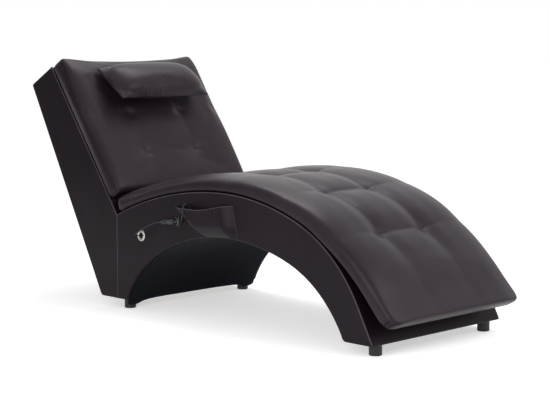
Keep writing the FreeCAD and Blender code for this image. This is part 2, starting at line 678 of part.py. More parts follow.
def pad_loft(place, start, rows, end, heights):
    """A tufted cushion along a path, its ends rounded and its sides drawn in."""
    wires = []
    for along, full in pad_stations(start, rows, end):
        base, edge, valley, outer_crown, crown = heights(along, full)
        near_end = min(along - start, end - along, PAD_END_ROUND) / PAD_END_ROUND
        thin = PAD_END_THIN + (1 - PAD_END_THIN) * math.sqrt(1 - (1 - near_end) ** 2)
        middle = (base + edge) / 2
        levels = [middle + (level - middle) * thin for level in (base, edge, valley, outer_crown, crown)]
        share = 2 * (along - start) / (end - start) - 1
        width = SKIN_Y - PAD_DRAW_IN * (1 - share ** 2)
        wires.append(pad_section(place(along), width, *levels))
    return Part.makeLoft(wires, True, True)


def seat_pad_heights(along, full):
    rise = max(0.0, along - (seat_pad_end() - SEAT_PAD_LIFT_RUN)) / SEAT_PAD_LIFT_RUN
    base = SEAT_PAD_GAP + SEAT_PAD_LIFT * rise ** SEAT_PAD_LIFT_POWER
    drop = SEAT_PAD_REAR_DROP * max(0.0, 1 - (along - SEAT_PAD_START) / SEAT_PAD_REAR_RUN)
    edge = base + SEAT_PAD_EDGE - drop
    valley = base + SEAT_PAD_TUFT - drop + SEAT_PAD_PUFF * full
    crown = valley + SEAT_PAD_CREASE + SEAT_PAD_CROWN * full
    return base, edge, valley, (edge + valley) / 2 + SEAT_PAD_CREASE + SEAT_PAD_CROWN * full, crown


def back_pad_heights(down, full):
    base = FIT_GAP
    rise = max(0.0, 1 - (down - BACK_PAD_START) / BACK_PAD_TOP_RUN)
    from_end = min(down - BACK_PAD_START, BACK_PAD_START + BACK_PAD_LENGTH - down, BACK_PAD_BELLY_RUN)
    belly = BACK_PAD_BELLY * math.sin(math.pi / 2 * from_end / BACK_PAD_BELLY_RUN)
    edge = base + BACK_PAD_EDGE + BACK_PAD_TOP_RISE * rise + belly
    valley = base + BACK_PAD_TUFT + belly + BACK_PAD_PUFF * full
    crown = valley + BACK_PAD_CREASE + BACK_PAD_CROWN * full
    return base, edge, valley, (edge + valley) / 2 + BACK_PAD_CREASE + BACK_PAD_CROWN * full, crown


def seat_pad_end():
    return SEAT_RUN - SEAT_PAD_SHORT


def back_pad_crown():
    """Most that the back cushion stands off the back face."""
    return back_pad_heights(BACK_PAD_START + BACK_PAD_TOP_RUN, 1.0)[4]


def motor_pocket(place):
    depth = MOTOR_SEAT_GAP + MOTOR_CUP_HEIGHT + MOTOR_LID + MOTOR_POCKET_ROOM
    return seated(rod(lean(0) * -depth, lean(0), 2 * depth, MOTOR_CUP_RADIUS + MOTOR_POCKET_ROOM), place)


def cushions():
    seat = pad_loft(seat_place, SEAT_PAD_START, SEAT_TUFT_ROWS, seat_pad_end(), seat_pad_heights)
    parts["seat_cushion"] = cut_all(seat, [motor_pocket(seat_place(along)) for along in SEAT_MOTORS])
    back_end = BACK_PAD_START + BACK_PAD_LENGTH
    back = pad_loft(back_place, BACK_PAD_START, BACK_TUFT_ROWS, back_end, back_pad_heights)
    parts["back_cushion"] = cut_all(back, [motor_pocket(back_place(down)) for down in BACK_MOTORS])


def pillow_section(y, full):
    """One cross-section of the pillow, a teardrop that hangs thicker towards its lower seam."""
    rest = pillow_rest() + PILLOW_END_RISE * (1 - full)

    def at(down, height):
        origin, tilt = back_place(down)
        return origin + lean(tilt) * height + Vector(0, y, 0)

    top = (PILLOW_TOP + PILLOW_DRAW_IN * full, rest + PILLOW_TOP_STANDOFF)
    bottom = (PILLOW_BOTTOM - PILLOW_DRAW_IN * full, rest + PILLOW_BOTTOM_STANDOFF)
    along = bottom[0] - top[0]
    rise = bottom[1] - top[1]
    chord = math.hypot(along, rise)
    swell = PILLOW_SWELL * full
    front_down = (top[0] + bottom[0]) / 2 - rise / chord * swell
    front_height = (top[1] + bottom[1]) / 2 + along / chord * swell
    return Part.Wire([
        Part.Arc(at(*top), at(front_down, front_height), at(*bottom)).toShape(),
        Part.makeLine(at(*bottom), at(PILLOW_FLAT_BOTTOM, rest)),
        Part.makeLine(at(PILLOW_FLAT_BOTTOM, rest), at(PILLOW_FLAT_TOP, rest)),
        Part.makeLine(at(PILLOW_FLAT_TOP, rest), at(*top)),
    ])


def pillow_rest():
    """Distance of the pillow's rear from the back face, over both fastening strips."""
    return back_pad_crown() + FIT_GAP + STRIP + FIT_GAP + STRIP


def pillow_strip(height):
    half = STRIP_WIDTH / 2
    strip = box((0, STRIP_BOTTOM - STRIP_TOP), (-half, half), (height, height + STRIP))
    return seated(strip, back_place(STRIP_TOP))


def pillow():
    sections = []
    for station in PILLOW_STATIONS:
        end_share = abs(station) ** PILLOW_END_POWER
        full = 1 - (1 - PILLOW_END_FULLNESS) * end_share
        sections.append(pillow_section(PILLOW_SHIFT + station * PILLOW_LENGTH / 2, full))
    parts["head_pillow"] = Part.makeLoft(sections, True, True)
    parts["pillow_hook_strip"] = pillow_strip(pillow_rest() - STRIP)
    parts["back_loop_strip"] = pillow_strip(back_pad_crown() + FIT_GAP)


def seated(shape, place):
    """Turns a piece that was made on a level deck onto a place of the seat or back."""
    origin, tilt = place
    shape.rotate(Vector(0, 0, 0), Vector(0, 1, 0), tilt)
    shape.translate(origin)
    return shape


def lead_hole(place, lane):
    """Hole for a motor's lead through leather and board."""
    start = Vector(LEAD_HOLE_OFFSET, lane, -LEAD_DEPTH_BACK)
    return seated(rod(start, lean(0), 2 * LEAD_DEPTH_BACK, LEAD_RADIUS + LEAD_HOLE_ROOM), place)


def massage_motor(place, lane):
    """Cup, lid, motor can and eccentric weight of one vibration motor."""
    low = Vector(0, 0, MOTOR_SEAT_GAP)
    floor = low + lean(0) * MOTOR_WALL
    axis_height = MOTOR_SEAT_GAP + MOTOR_AXIS_HEIGHT
    across = Vector(0, 1, 0)
    cup = rod(low, lean(0), MOTOR_CUP_HEIGHT, MOTOR_CUP_RADIUS)
    cup = cup.cut(rod(floor, lean(0), MOTOR_CUP_HEIGHT, MOTOR_CUP_RADIUS - MOTOR_WALL))
    can_start = Vector(0, MOTOR_CAN_START, axis_height)
    can_room = rod(can_start, across, MOTOR_CAN_LENGTH, MOTOR_CAN_RADIUS)
    half = MOTOR_RIB_WIDTH / 2
    for start in MOTOR_RIB_STARTS:
        rib = box((-half, half), (start, start + MOTOR_RIB), (low.z, axis_height))
        cup = cup.fuse(rib.cut(can_room))
    hole_start = Vector(LEAD_HOLE_OFFSET, lane, 0)
    cup = cup.cut(rod(hole_start, lean(0), MOTOR_WALL * 2, LEAD_RADIUS + LEAD_HOLE_ROOM)).removeSplitter()
    rim = low + lean(0) * MOTOR_CUP_HEIGHT
    lip_radius = MOTOR_CUP_RADIUS - MOTOR_WALL - FIT_GAP
    lid = rod(rim, lean(0), MOTOR_LID, MOTOR_CUP_RADIUS)
    lip = ring(rim - lean(0) * MOTOR_LID_LIP, lean(0), MOTOR_LID_LIP, lip_radius, lip_radius - MOTOR_WALL)
    lid = lid.fuse(lip).removeSplitter()
    bore = rod(can_start, across, MOTOR_SHAFT_DEPTH, MOTOR_SHAFT_RADIUS + MOTOR_SHAFT_ROOM)
    can = can_room.cut(bore)
    weight_end = can_start - across * MOTOR_WEIGHT_GAP
    weight_start = weight_end - across * MOTOR_WEIGHT_LENGTH
    shaft_start = weight_start - across * MOTOR_SHAFT_TIP
    shaft_end = can_start + across * (MOTOR_SHAFT_DEPTH - FIT_GAP)
    shaft = rod(shaft_start, across, shaft_end.y - shaft_start.y, MOTOR_SHAFT_RADIUS)
    weight = rod(weight_start, across, MOTOR_WEIGHT_LENGTH, MOTOR_WEIGHT_RADIUS)
    reach = (-MOTOR_WEIGHT_RADIUS, MOTOR_WEIGHT_RADIUS)
    upper = box(reach, (weight_start.y, weight_end.y), (axis_height, axis_height + MOTOR_WEIGHT_RADIUS))
    rotor = shaft.fuse(weight.cut(upper)).removeSplitter()
    rotor.rotate(can_start, across, -place[1])      # the heavy half hangs down
    return [seated(piece, place) for piece in (cup, lid, can, rotor)]


def motor_places():
    return [seat_place(along) for along in SEAT_MOTORS] + [back_place(down) for down in BACK_MOTORS]


def motors():
    groups = {"motor_cups": [], "motor_lids": [], "motor_cans": []}
    for index, (place, lane) in enumerate(zip(motor_places(), LEAD_LANES)):
        *fixed, rotor = massage_motor(place, lane)
        for group, piece in zip(groups.values(), fixed):
            group.append(piece)
        parts["motor_weight_%d" % (index + 1)] = rotor
    for name, pieces in groups.items():
        parts[name] = Part.makeCompound(pieces)


def grommet_x():
    return SEAM_X + GROMMET_REACH


def box_top():
    """Underside of the first rail, where the control box hangs."""
    return deck_under_height(grommet_x() - RAIL_THICK / 2) - RAIL_DEEP


def box_limits():
    x = grommet_x()
    near = -BOARD_INNER_Y + BOX_FROM_BOARD
    half = BOX_DEPTH / 2
    return (x - half, x + half), (near, near + BOX_LENGTH), (box_top() - BOX_HEIGHT, box_top())


def shrink(limits, amount):
    return limits[0] + amount, limits[1] - amount


def control_box():
    x, y, z = box_limits()
    inside = box((x[0] + BOX_WALL, x[1]), shrink(y, BOX_WALL), shrink(z, BOX_WALL))
    shell = box(x, y, z).cut(inside)
    inset = BOX_WALL + BOARD_MARGIN + BOX_BOSS_RADIUS
    for boss_y in shrink(y, inset):
        for boss_z in shrink(z, inset):
            start = Vector(x[0] + BOX_WALL, boss_y, boss_z)
            shell = shell.fuse(rod(start, Vector(1, 0, 0), BOX_BOSS, BOX_BOSS_RADIUS))
    parts["control_box"] = shell.removeSplitter()
    parts["control_box_lid"] = box((x[1], x[1] + BOX_WALL), y, z)
    board_x = x[0] + BOX_WALL + BOX_BOSS
    margin = BOX_WALL + BOARD_MARGIN
    parts["control_board"] = box((board_x, board_x + CIRCUIT_BOARD), shrink(y, margin), shrink(z, margin))


def inlet_point():
    """Centre of the power inlet on the rear face."""
    down = (BACK_REAR_HEIGHT - INLET_HEIGHT) / math.cos(math.radians(BACK_REAR_LEAN))
    return REAR_TOP + REAR_DOWN * down


def power_inlet():
    face = inlet_point()
    inward = REAR_OUT * -1
    mouth = face + REAR_OUT * INLET_FLANGE
    body = rod(mouth, inward, INLET_FLANGE, INLET_FLANGE_RADIUS)
    body = body.fuse(rod(mouth, inward, INLET_FLANGE + INLET_BODY, INLET_BODY_RADIUS))
    body = body.cut(rod(mouth, inward, INLET_BORE, INLET_BORE_RADIUS))
    parts["power_inlet"] = body.fuse(rod(mouth, inward, INLET_BORE, INLET_PIN_RADIUS)).removeSplitter()


def wiring():
    """Leads from the motors and the inlet to the control box, and the cord's end inside the chair."""
    x, y, z = box_limits()
    across = grommet_x()
    terminals = [z[1] - TERMINAL_TOP - TERMINAL_PITCH * index for index in range(len(LEAD_LANES))]
    leads = []

    def finish(points, lane, height):
        points.append(Vector(across, lane, height))
        points.append(Vector(across, y[1], height))
        leads.append(tube(points, LEAD_RADIUS))

    def at(place, ahead, lane, height):
        origin, tilt = place
        return origin + lean(tilt + 90) * ahead + lean(tilt) * height + Vector(0, lane, 0)

    for along, lane, height in zip(SEAT_MOTORS, LEAD_LANES, terminals):
        place = seat_place(along)
        points = [at(place, LEAD_HOLE_OFFSET, lane, rise) for rise in (LEAD_RISE, -LEAD_DEPTH_SEAT)]
        step = along - LEAD_STEP
        while step > GROMMET_REACH + LEAD_STEP:
            points.append(at(seat_place(step), 0, lane, -LEAD_DEPTH_SEAT))
            step -= LEAD_STEP
        points.append(Vector(across + LEAD_APPROACH, lane, height))
        finish(points, lane, height)
    first_back = len(SEAT_MOTORS)
    before = Vector(SEAM_X - LEAD_APPROACH - SEAM_BOARD, 0, PASSAGE_HEIGHT)
    after = Vector(SEAM_X + LEAD_APPROACH, 0, PASSAGE_HEIGHT)
    for down, lane, height in zip(BACK_MOTORS, LEAD_LANES[first_back:], terminals[first_back:]):
        place = back_place(down)
        shift = Vector(0, lane, 0)
        points = [at(place, LEAD_HOLE_OFFSET, lane, rise) for rise in (LEAD_RISE, -LEAD_DEPTH_BACK)]
        points += [before + shift, after + shift, Vector(across - LEAD_APPROACH / 2, lane, height)]
        finish(points, lane, height)
    inlet_end = inlet_point() - REAR_OUT * INLET_BODY
    points = [inlet_end, inlet_end - REAR_OUT * LEAD_APPROACH, before, after]
    points.append(Vector(across - LEAD_APPROACH / 2, 0, terminals[-1]))
    finish(points, LEAD_LANES[-1], terminals[-1])
    mouth = -SKIN_Y - GROMMET_FLANGE
    leads.append(rod(Vector(across, mouth, GROMMET_HEIGHT), Vector(0, 1, 0), y[0] - mouth, CORD_RADIUS))
    parts["wiring_leads"] = Part.makeCompound(leads)


def grommet():
    centre = Vector(grommet_x(), -SKIN_Y, GROMMET_HEIGHT)
    barrel = GROMMET_BORE + GROMMET_WALL
    inner = -BOARD_INNER_Y + GROMMET_WASHER
    flange = rod(centre, OUTWARD, GROMMET_FLANGE, GROMMET_RADIUS)
    body = flange.fuse(rod(centre, OUTWARD * -1, inner + SKIN_Y, barrel))
    bore = rod(centre + OUTWARD * GROMMET_FLANGE, OUTWARD * -1, WIDTH, GROMMET_BORE)
    parts["grommet"] = body.cut(bore).removeSplitter()
    washer = Vector(grommet_x(), inner, GROMMET_HEIGHT)
    parts["grommet_washer"] = ring(washer, OUTWARD, GROMMET_WASHER, GROMMET_WASHER_RADIUS,
                                   barrel + GROMMET_ROOM)


def connector_axis():
    turn = math.radians(CONNECTOR_TURN)
    return lean(90 - CONNECTOR_TILT) * math.cos(turn) + OUTWARD * math.sin(turn)


def connector_start():
    return Vector(SEAM_X + CONNECTOR_REACH, -SKIN_Y - FIT_GAP - SOCKET_RADIUS, CONNECTOR_HEIGHT)


def connectors():
    axis = connector_axis()
    start = connector_start()
    plug = Part.makeCone(RELIEF_THIN, RELIEF_THICK, RELIEF, start, axis)
    plug = plug.fuse(rod(start + axis * RELIEF, axis, PLUG_BODY, PLUG_RADIUS))
    pitch = PLUG_BODY / (2 * PLUG_GROOVES + 1)
    for index in range(PLUG_GROOVES):
        groove = start + axis * (RELIEF + pitch * (2 * index + 1))
        plug = plug.cut(ring(groove, axis, pitch, PLUG_RADIUS * 2, PLUG_RADIUS - PLUG_GROOVE))
    parts["cord_plug"] = plug.removeSplitter()
    face = start + axis * (RELIEF + PLUG_BODY)
    socket = rod(face, axis, PLUG_BODY, SOCKET_RADIUS)
    socket = socket.fuse(Part.makeCone(RELIEF_THICK, RELIEF_THIN, RELIEF, face + axis * PLUG_BODY, axis))
    parts["cord_socket"] = socket.removeSplitter()


def cords():
    """The two free stretches, places from the seam, the side panel and the floor."""
    panel = Vector(SEAM_X, -SKIN_Y, 0)
    axis = connector_axis()
    start = connector_start()
    first = [panel + Vector(*point) for point in HARNESS_ROUTE]
    parts["harness_cord"] = tube(first + [start - axis * PLUG_LEAD_IN, start], CORD_RADIUS, "harness_cord")
    end = start + axis * (2 * RELIEF + 2 * PLUG_BODY)
    second = [end, end + axis * SOCKET_LEAD_OUT]
    second += [panel + Vector(*point) for point in HANDSET_ROUTE]
    gland = gland_end()
    second += [gland + Vector(-GLAND_LEAD_IN, 0, 0), gland]
    parts["handset_cord"] = tube(second, CORD_RADIUS, "handset_cord")


def pocket_shell(depths, levels, sink):
    """The pocket's swollen form up to its lip, as a closed solid."""
    sections = []
    for level, depth in zip(levels, depths):
        ends = []
        for side in (0, 1):
            low_x = SEAM_X + POCKET_BOTTOM_REACHES[side]
            high_x = SEAM_X + POCKET_TOP_REACHES[side]
            low_z = arch_height(low_x) + POCKET_ARCH_MARGIN
            low = Vector(low_x, -SKIN_Y, low_z)
            high = Vector(high_x, -SKIN_Y, POCKET_TOP_HEIGHTS[side])
            ends.append(low + (high - low) * level)
        along = (ends[1] - ends[0]).normalize()
        left = ends[0] + along * sink
        right = ends[1] - along * sink
        run = POCKET_SIDE - sink
        out = OUTWARD * depth
        half = math.sqrt(0.5)
        left_mid = left + along * (run * (1 - half)) + out * half
        right_mid = right - along * (run * (1 - half)) + out * half
        sections.append(Part.Wire([
            Part.makeLine(right, left),
            Part.Arc(left, left_mid, left + along * run + out).toShape(),
            Part.makeLine(left + along * run + out, right - along * run + out),
            Part.Arc(right - along * run + out, right_mid, right).toShape(),
        ]))
    return Part.makeLoft(sections, True, True)


def pocket():
    levels = [level for level, share in POCKET_LEVELS] + [1.0]
    depths = [POCKET_DEPTH * share for level, share in POCKET_LEVELS] + [POCKET_LIP_DEPTH]
    outer = pocket_shell(depths, levels, 0)
    inner_levels = [POCKET_FLOOR_LEVEL, *levels[1:-1], POCKET_OPEN_LEVEL]
    inner = pocket_shell([depth - POCKET_WALL for depth in depths], inner_levels, POCKET_WALL)
    parts["side_pocket"] = outer.cut(inner)


def handset_limits():
    reaches = POCKET_TOP_REACHES + POCKET_BOTTOM_REACHES
    middle = SEAM_X + sum(reaches) / len(reaches)
    left = middle + HANDSET_SHIFT - HANDSET_LENGTH / 2
    back = -SKIN_Y - HANDSET_GAP
    top = HANDSET_BASE + HANDSET_HEIGHT
    return (left, left + HANDSET_LENGTH), (back - HANDSET_DEPTH, back), (HANDSET_BASE, top)


def gland_end():
    x, y, z = handset_limits()
    return Vector(x[0] - GLAND, y[1] - HANDSET_SPLIT, (z[0] + z[1]) / 2)


def rounded_block(x, y, z, corner):
    """A block with rounded corners, seen from the front."""
    block = box(x, y, z)
    upright = [edge for edge in block.Edges if abs(edge.tangentAt(edge.FirstParameter).y) > 0.5]
    return block.makeFillet(corner, upright)


def handset():
    x, y, z = handset_limits()
    split = y[1] - HANDSET_SPLIT
    inside_x = shrink(x, HANDSET_WALL)
    inside_y = shrink(y, HANDSET_WALL)
    inside_z = shrink(z, HANDSET_WALL)
    hollow = rounded_block(inside_x, inside_y, inside_z, HANDSET_CORNER - HANDSET_WALL)
    rear = rounded_block(x, (split, y[1]), z, HANDSET_CORNER).cut(hollow)
    front = rounded_block(x, (y[0], split), z, HANDSET_CORNER).cut(hollow)
    gland = Part.makeCone(GLAND_THIN, GLAND_THICK, GLAND, gland_end(), Vector(1, 0, 0))
    flange_face = inside_y[0] + BUTTON_SEAT
    switch_top = flange_face + BUTTON_FLANGE + BUTTON_TRAVEL + SWITCH_CLEAR
    board_face = switch_top + SWITCH_HEIGHT
    board_limits = (board_face, board_face + CIRCUIT_BOARD)
    board = rounded_block(shrink(inside_x, FIT_GAP), board_limits, shrink(inside_z, FIT_GAP),
                          HANDSET_CORNER - HANDSET_WALL)
    pieces = [board]
    for name, (along, up, radius) in BUTTONS.items():
        centre = Vector(x[0] + along, 0, z[0] + up)
        front = front.cut(rod(centre + OUTWARD * -y[0], OUTWARD * -1, HANDSET_WALL, radius + BUTTON_ROOM))
        tip = centre + Vector(0, y[0] - BUTTON_PROUD, 0)
        cap = rod(tip, OUTWARD * -1, flange_face - tip.y, radius)
        seat = centre + Vector(0, flange_face, 0)
        flange = rod(seat, OUTWARD * -1, BUTTON_FLANGE, radius + BUTTON_FLANGE_EDGE)
        parts[name] = cap.fuse(flange).removeSplitter()
        pieces.append(rod(centre + Vector(0, switch_top, 0), OUTWARD * -1, SWITCH_HEIGHT, SWITCH_RADIUS))
    parts["handset_rear_shell"] = rear
    parts["handset_front_shell"] = front
    parts["handset_board"] = Part.makeCompound(pieces)
    parts["handset_gland"] = gland


def to_origin():
    """Moves the middle of the chair's footprint, without the free cord, to the origin."""
    bounds = FreeCAD.BoundBox()
    for name, piece in parts.items():
        if name not in FREE_CORD:
            bounds.add(piece.BoundBox)
    return Vector(-bounds.Center.x, -bounds.Center.y, 0)


back_carcass()
seat_carcass()
fasteners()
feet()
cushions()
pillow()
motors()
control_box()
power_inlet()
wiring()
grommet()
connectors()
cords()
pocket()
handset()

ORIGIN_SHIFT = to_origin()
os.makedirs("parts", exist_ok=True)
for node, shape in parts.items():
    placed = shape.copy()
    placed.translate(ORIGIN_SHIFT)
    placed.exportStep("parts/" + node + ".step")
print(len(parts), "nodes, shift", ORIGIN_SHIFT)
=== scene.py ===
import json
import math

import bmesh
import bpy
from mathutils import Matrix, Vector, noise


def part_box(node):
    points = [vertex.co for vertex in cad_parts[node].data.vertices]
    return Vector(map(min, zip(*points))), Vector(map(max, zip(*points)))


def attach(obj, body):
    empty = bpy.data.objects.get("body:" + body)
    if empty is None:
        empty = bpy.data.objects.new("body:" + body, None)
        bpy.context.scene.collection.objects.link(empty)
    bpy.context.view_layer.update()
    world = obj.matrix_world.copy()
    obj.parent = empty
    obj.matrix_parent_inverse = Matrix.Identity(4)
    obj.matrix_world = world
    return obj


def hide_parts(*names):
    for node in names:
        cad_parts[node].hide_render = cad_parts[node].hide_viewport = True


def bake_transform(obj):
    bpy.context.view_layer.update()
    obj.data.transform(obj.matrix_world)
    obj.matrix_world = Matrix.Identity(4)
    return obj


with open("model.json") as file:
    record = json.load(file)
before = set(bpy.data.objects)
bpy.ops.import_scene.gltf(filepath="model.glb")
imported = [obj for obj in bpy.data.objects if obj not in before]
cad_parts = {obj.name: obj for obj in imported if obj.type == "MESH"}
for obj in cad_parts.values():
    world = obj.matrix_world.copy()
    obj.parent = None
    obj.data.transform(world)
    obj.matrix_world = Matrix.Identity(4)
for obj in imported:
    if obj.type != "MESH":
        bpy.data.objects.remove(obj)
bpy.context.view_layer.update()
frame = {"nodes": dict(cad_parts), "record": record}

scene = bpy.context.scene
print("frame loaded,", len(frame["nodes"]), "nodes")


# places that the frame gives
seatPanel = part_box("seat_cover_right")
seamX = seatPanel[0].x                                  # seam between back and seat carcass
panelY = seatPanel[0].y                                 # outer face of the right panel
middleY = (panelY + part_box("seat_cover_left")[1].y) / 2
halfWidth = middleY - panelY
bottomZ = seatPanel[0].z                                # underside of both carcasses


def lean(tilt):
    return Vector((math.sin(math.radians(tilt)), 0, math.cos(math.radians(tilt))))


def smoothStep(low, high, value):
    share = min(max((value - low) / (high - low), 0.0), 1.0)
    return share * share * (3 - 2 * share)


def shares(count):
    return [i / count for i in range(count + 1)]


# materials

def linear(hexColour):
    channels = [int(hexColour[i:i + 2], 16) / 255 for i in (1, 3, 5)]
    return [c / 12.92 if c <= 0.04045 else ((c + 0.055) / 1.055) ** 2.4 for c in channels] + [1.0]


def feed(tree, node, links):
    for name, socket in links.items():
        tree.links.new(socket, node.inputs[name])


def addNode(tree, kind, settings=None, links=None):
    node = tree.nodes.new(kind)
    for name, value in (settings or {}).items():
        if name == "ramp":
            for stop, (place, colour) in zip(node.color_ramp.elements, value):
                stop.position, stop.color = place, colour
        elif isinstance(name, int) or name in node.inputs:
            node.inputs[name].default_value = value
        else:
            setattr(node, name, value)
    feed(tree, node, links or {})
    return node


def newMaterial(name, settings):
    material = bpy.data.materials.new(name)
    material.use_nodes = True
    tree = material.node_tree
    shader = tree.nodes["Principled BSDF"]
    for socket, value in settings.items():
        shader.inputs[socket].default_value = value
    spot = addNode(tree, "ShaderNodeTexCoord").outputs["Object"]
    return material, tree, shader, spot


def imitationLeather(name, dark, light, coat, grainMm=1.6):
    # polyurethane coat on cloth, embossed with a fine pebble and wiped with a soft top coat: dull gloss, darker in the pores
    material, tree, shader, spot = newMaterial(name, {
        "IOR": 1.45, "Specular IOR Level": 0.07, "Coat Weight": coat, "Coat Roughness": 0.34, "Coat IOR": 1.25})
    cloud = addNode(tree, "ShaderNodeTexNoise", {"Scale": 9.0, "Detail": 4.0, "Roughness": 0.55}, {"Vector": spot})     # 110 mm patches
    pebble = addNode(tree, "ShaderNodeTexVoronoi", {"feature": "SMOOTH_F1", "Scale": 1000 / grainMm, "Smoothness": 0.35},
                     {"Vector": spot})
    crease = addNode(tree, "ShaderNodeTexNoise", {"Scale": 140.0, "Detail": 3.0, "Roughness": 0.6, "Distortion": 0.6},
                     {"Vector": spot})                  # 7 mm creases
    tone = addNode(tree, "ShaderNodeValToRGB", {"ramp": ((0.3, linear(dark)), (0.72, linear(light)))}, {"Fac": cloud.outputs["Fac"]})
    pore = addNode(tree, "ShaderNodeMapRange", {"From Min": 0.25, "From Max": 0.62, "To Min": 1.0, "To Max": 0.72},
                   {"Value": pebble.outputs["Distance"]})
    shaded = addNode(tree, "ShaderNodeMix", {"data_type": "RGBA", "blend_type": "MULTIPLY", 0: 1.0},
                     {6: tone.outputs["Color"], 7: pore.outputs["Result"]})
    gloss = addNode(tree, "ShaderNodeMapRange", {"From Min": 0.3, "From Max": 0.7, "To Min": 0.40, "To Max": 0.50},
                    {"Value": crease.outputs["Fac"]})
    soft = addNode(tree, "ShaderNodeBump", {"Strength": 0.35, "Distance": 0.0006}, {"Height": crease.outputs["Fac"]})
    grain = addNode(tree, "ShaderNodeBump", {"Strength": 0.3, "Distance": 0.00025, "invert": True},
                    {"Height": pebble.outputs["Distance"], "Normal": soft.outputs["Normal"]})
    feed(tree, shader, {"Base Color": shaded.outputs[2], "Roughness": gloss.outputs["Result"], "Normal": grain.outputs["Normal"]})
    return material


def dustCloth():
    # spun polypropylene fleece, pressed with a dot grid: dull, slightly fuzzy black
    material, tree, shader, spot = newMaterial("spunPolypropylene", {
        "IOR": 1.45, "Specular IOR Level": 0.06, "Roughness": 0.95, "Sheen Weight": 0.04, "Sheen Roughness": 0.6})
    fibre = addNode(tree, "ShaderNodeTexNoise", {"Scale": 260.0, "Detail": 5.0, "Distortion": 1.4}, {"Vector": spot})
    dots = addNode(tree, "ShaderNodeTexVoronoi", {"Scale": 330.0, "Randomness": 0.12}, {"Vector": spot})     # 3 mm weld dots
    tone = addNode(tree, "ShaderNodeValToRGB", {"ramp": ((0.0, linear("#0d0f16")), (1.0, linear("#181a24")))},
                   {"Fac": fibre.outputs["Fac"]})
    press = addNode(tree, "ShaderNodeBump", {"Strength": 0.5, "Distance": 0.0004}, {"Height": dots.outputs["Distance"]})
    fuzz = addNode(tree, "ShaderNodeBump", {"Strength": 0.25, "Distance": 0.0004},
                   {"Height": fibre.outputs["Fac"], "Normal": press.outputs["Normal"]})
    feed(tree, shader, {"Base Color": tone.outputs["Color"], "Normal": fuzz.outputs["Normal"]})
    return material


def mouldedPlastic(name, colour, roughness, grainMm, depthMm):
    # injection moulding with a spark-eroded skin: even colour, fine matt grain
    material, tree, shader, spot = newMaterial(name, {"IOR": 1.49, "Specular IOR Level": 0.4})
    grain = addNode(tree, "ShaderNodeTexNoise", {"Scale": 1000 / grainMm, "Detail": 2.0}, {"Vector": spot})
    flow = addNode(tree, "ShaderNodeTexNoise", {"Scale": 40.0, "Detail": 2.0}, {"Vector": spot})              # 25 mm flow shades
    dull, clear = ([min(1.0, c * gain) for c in linear(colour)[:3]] + [1.0] for gain in (0.88, 1.12))
    tone = addNode(tree, "ShaderNodeValToRGB", {"ramp": ((0.0, dull), (1.0, clear))}, {"Fac": flow.outputs["Fac"]})
    gloss = addNode(tree, "ShaderNodeMapRange", {"To Min": roughness - 0.06, "To Max": roughness + 0.06},
                    {"Value": grain.outputs["Fac"]})
    skin = addNode(tree, "ShaderNodeBump", {"Strength": 0.3, "Distance": depthMm / 1000}, {"Height": grain.outputs["Fac"]})
    feed(tree, shader, {"Base Color": tone.outputs["Color"], "Roughness": gloss.outputs["Result"],
                        "Normal": skin.outputs["Normal"]})
    return material


def platedMetal(name, colour, roughness, scratchMm):
    # nickel or zinc plate on steel: bright, with fine drawn lines
    material, tree, shader, spot = newMaterial(name, {"Metallic": 1.0})
    stretch = addNode(tree, "ShaderNodeMapping", {"Scale": (1.0, 1.0, 0.08)}, {"Vector": spot})
    lines = addNode(tree, "ShaderNodeTexNoise", {"Scale": 1000 / scratchMm, "Detail": 3.0}, {"Vector": stretch.outputs["Vector"]})
    low = linear(colour)
    tone = addNode(tree, "ShaderNodeValToRGB", {"ramp": ((0.0, [c * 0.82 for c in low[:3]] + [1.0]), (1.0, low))},
                   {"Fac": lines.outputs["Fac"]})
    gloss = addNode(tree, "ShaderNodeMapRange", {"To Min": roughness - 0.05, "To Max": roughness + 0.1},
                    {"Value": lines.outputs["Fac"]})
    feed(tree, shader, {"Base Color": tone.outputs["Color"], "Roughness": gloss.outputs["Result"]})
    return material


def plywood():
    # birch ply and softwood, sawn: pale tan with long grain
    material, tree, shader, spot = newMaterial("birchPly", {"IOR": 1.5, "Specular IOR Level": 0.25, "Roughness": 0.7})
    stretch = addNode(tree, "ShaderNodeMapping", {"Scale": (0.12, 1.0, 1.0)}, {"Vector": spot})
    rings = addNode(tree, "ShaderNodeTexNoise", {"Scale": 220.0, "Detail": 4.0, "Distortion": 0.5},
                    {"Vector": stretch.outputs["Vector"]})                  # 4 mm grain
    tone = addNode(tree, "ShaderNodeValToRGB", {"ramp": ((0.0, linear("#a98257")), (1.0, linear("#d5b687")))},
                   {"Fac": rings.outputs["Fac"]})
    rough = addNode(tree, "ShaderNodeBump", {"Strength": 0.3, "Distance": 0.0003}, {"Height": rings.outputs["Fac"]})
    feed(tree, shader, {"Base Color": tone.outputs["Color"], "Normal": rough.outputs["Normal"]})
    return material


def hookAndLoop():
    # woven nylon tape with a dense pile: black, matt, speckled
    material, tree, shader, spot = newMaterial("hookLoopTape", {
        "IOR": 1.5, "Specular IOR Level": 0.2, "Roughness": 0.95, "Sheen Weight": 0.3})
    pile = addNode(tree, "ShaderNodeTexVoronoi", {"Scale": 700.0}, {"Vector": spot})      # 1.4 mm hooks
    tone = addNode(tree, "ShaderNodeValToRGB", {"ramp": ((0.0, linear("#26262a")), (1.0, linear("#0d0d0f")))},
                   {"Fac": pile.outputs["Distance"]})
    tuft = addNode(tree, "ShaderNodeBump", {"Strength": 0.8, "Distance": 0.0008, "invert": True},
                   {"Height": pile.outputs["Distance"]})
    feed(tree, shader, {"Base Color": tone.outputs["Color"], "Normal": tuft.outputs["Normal"]})
    return material


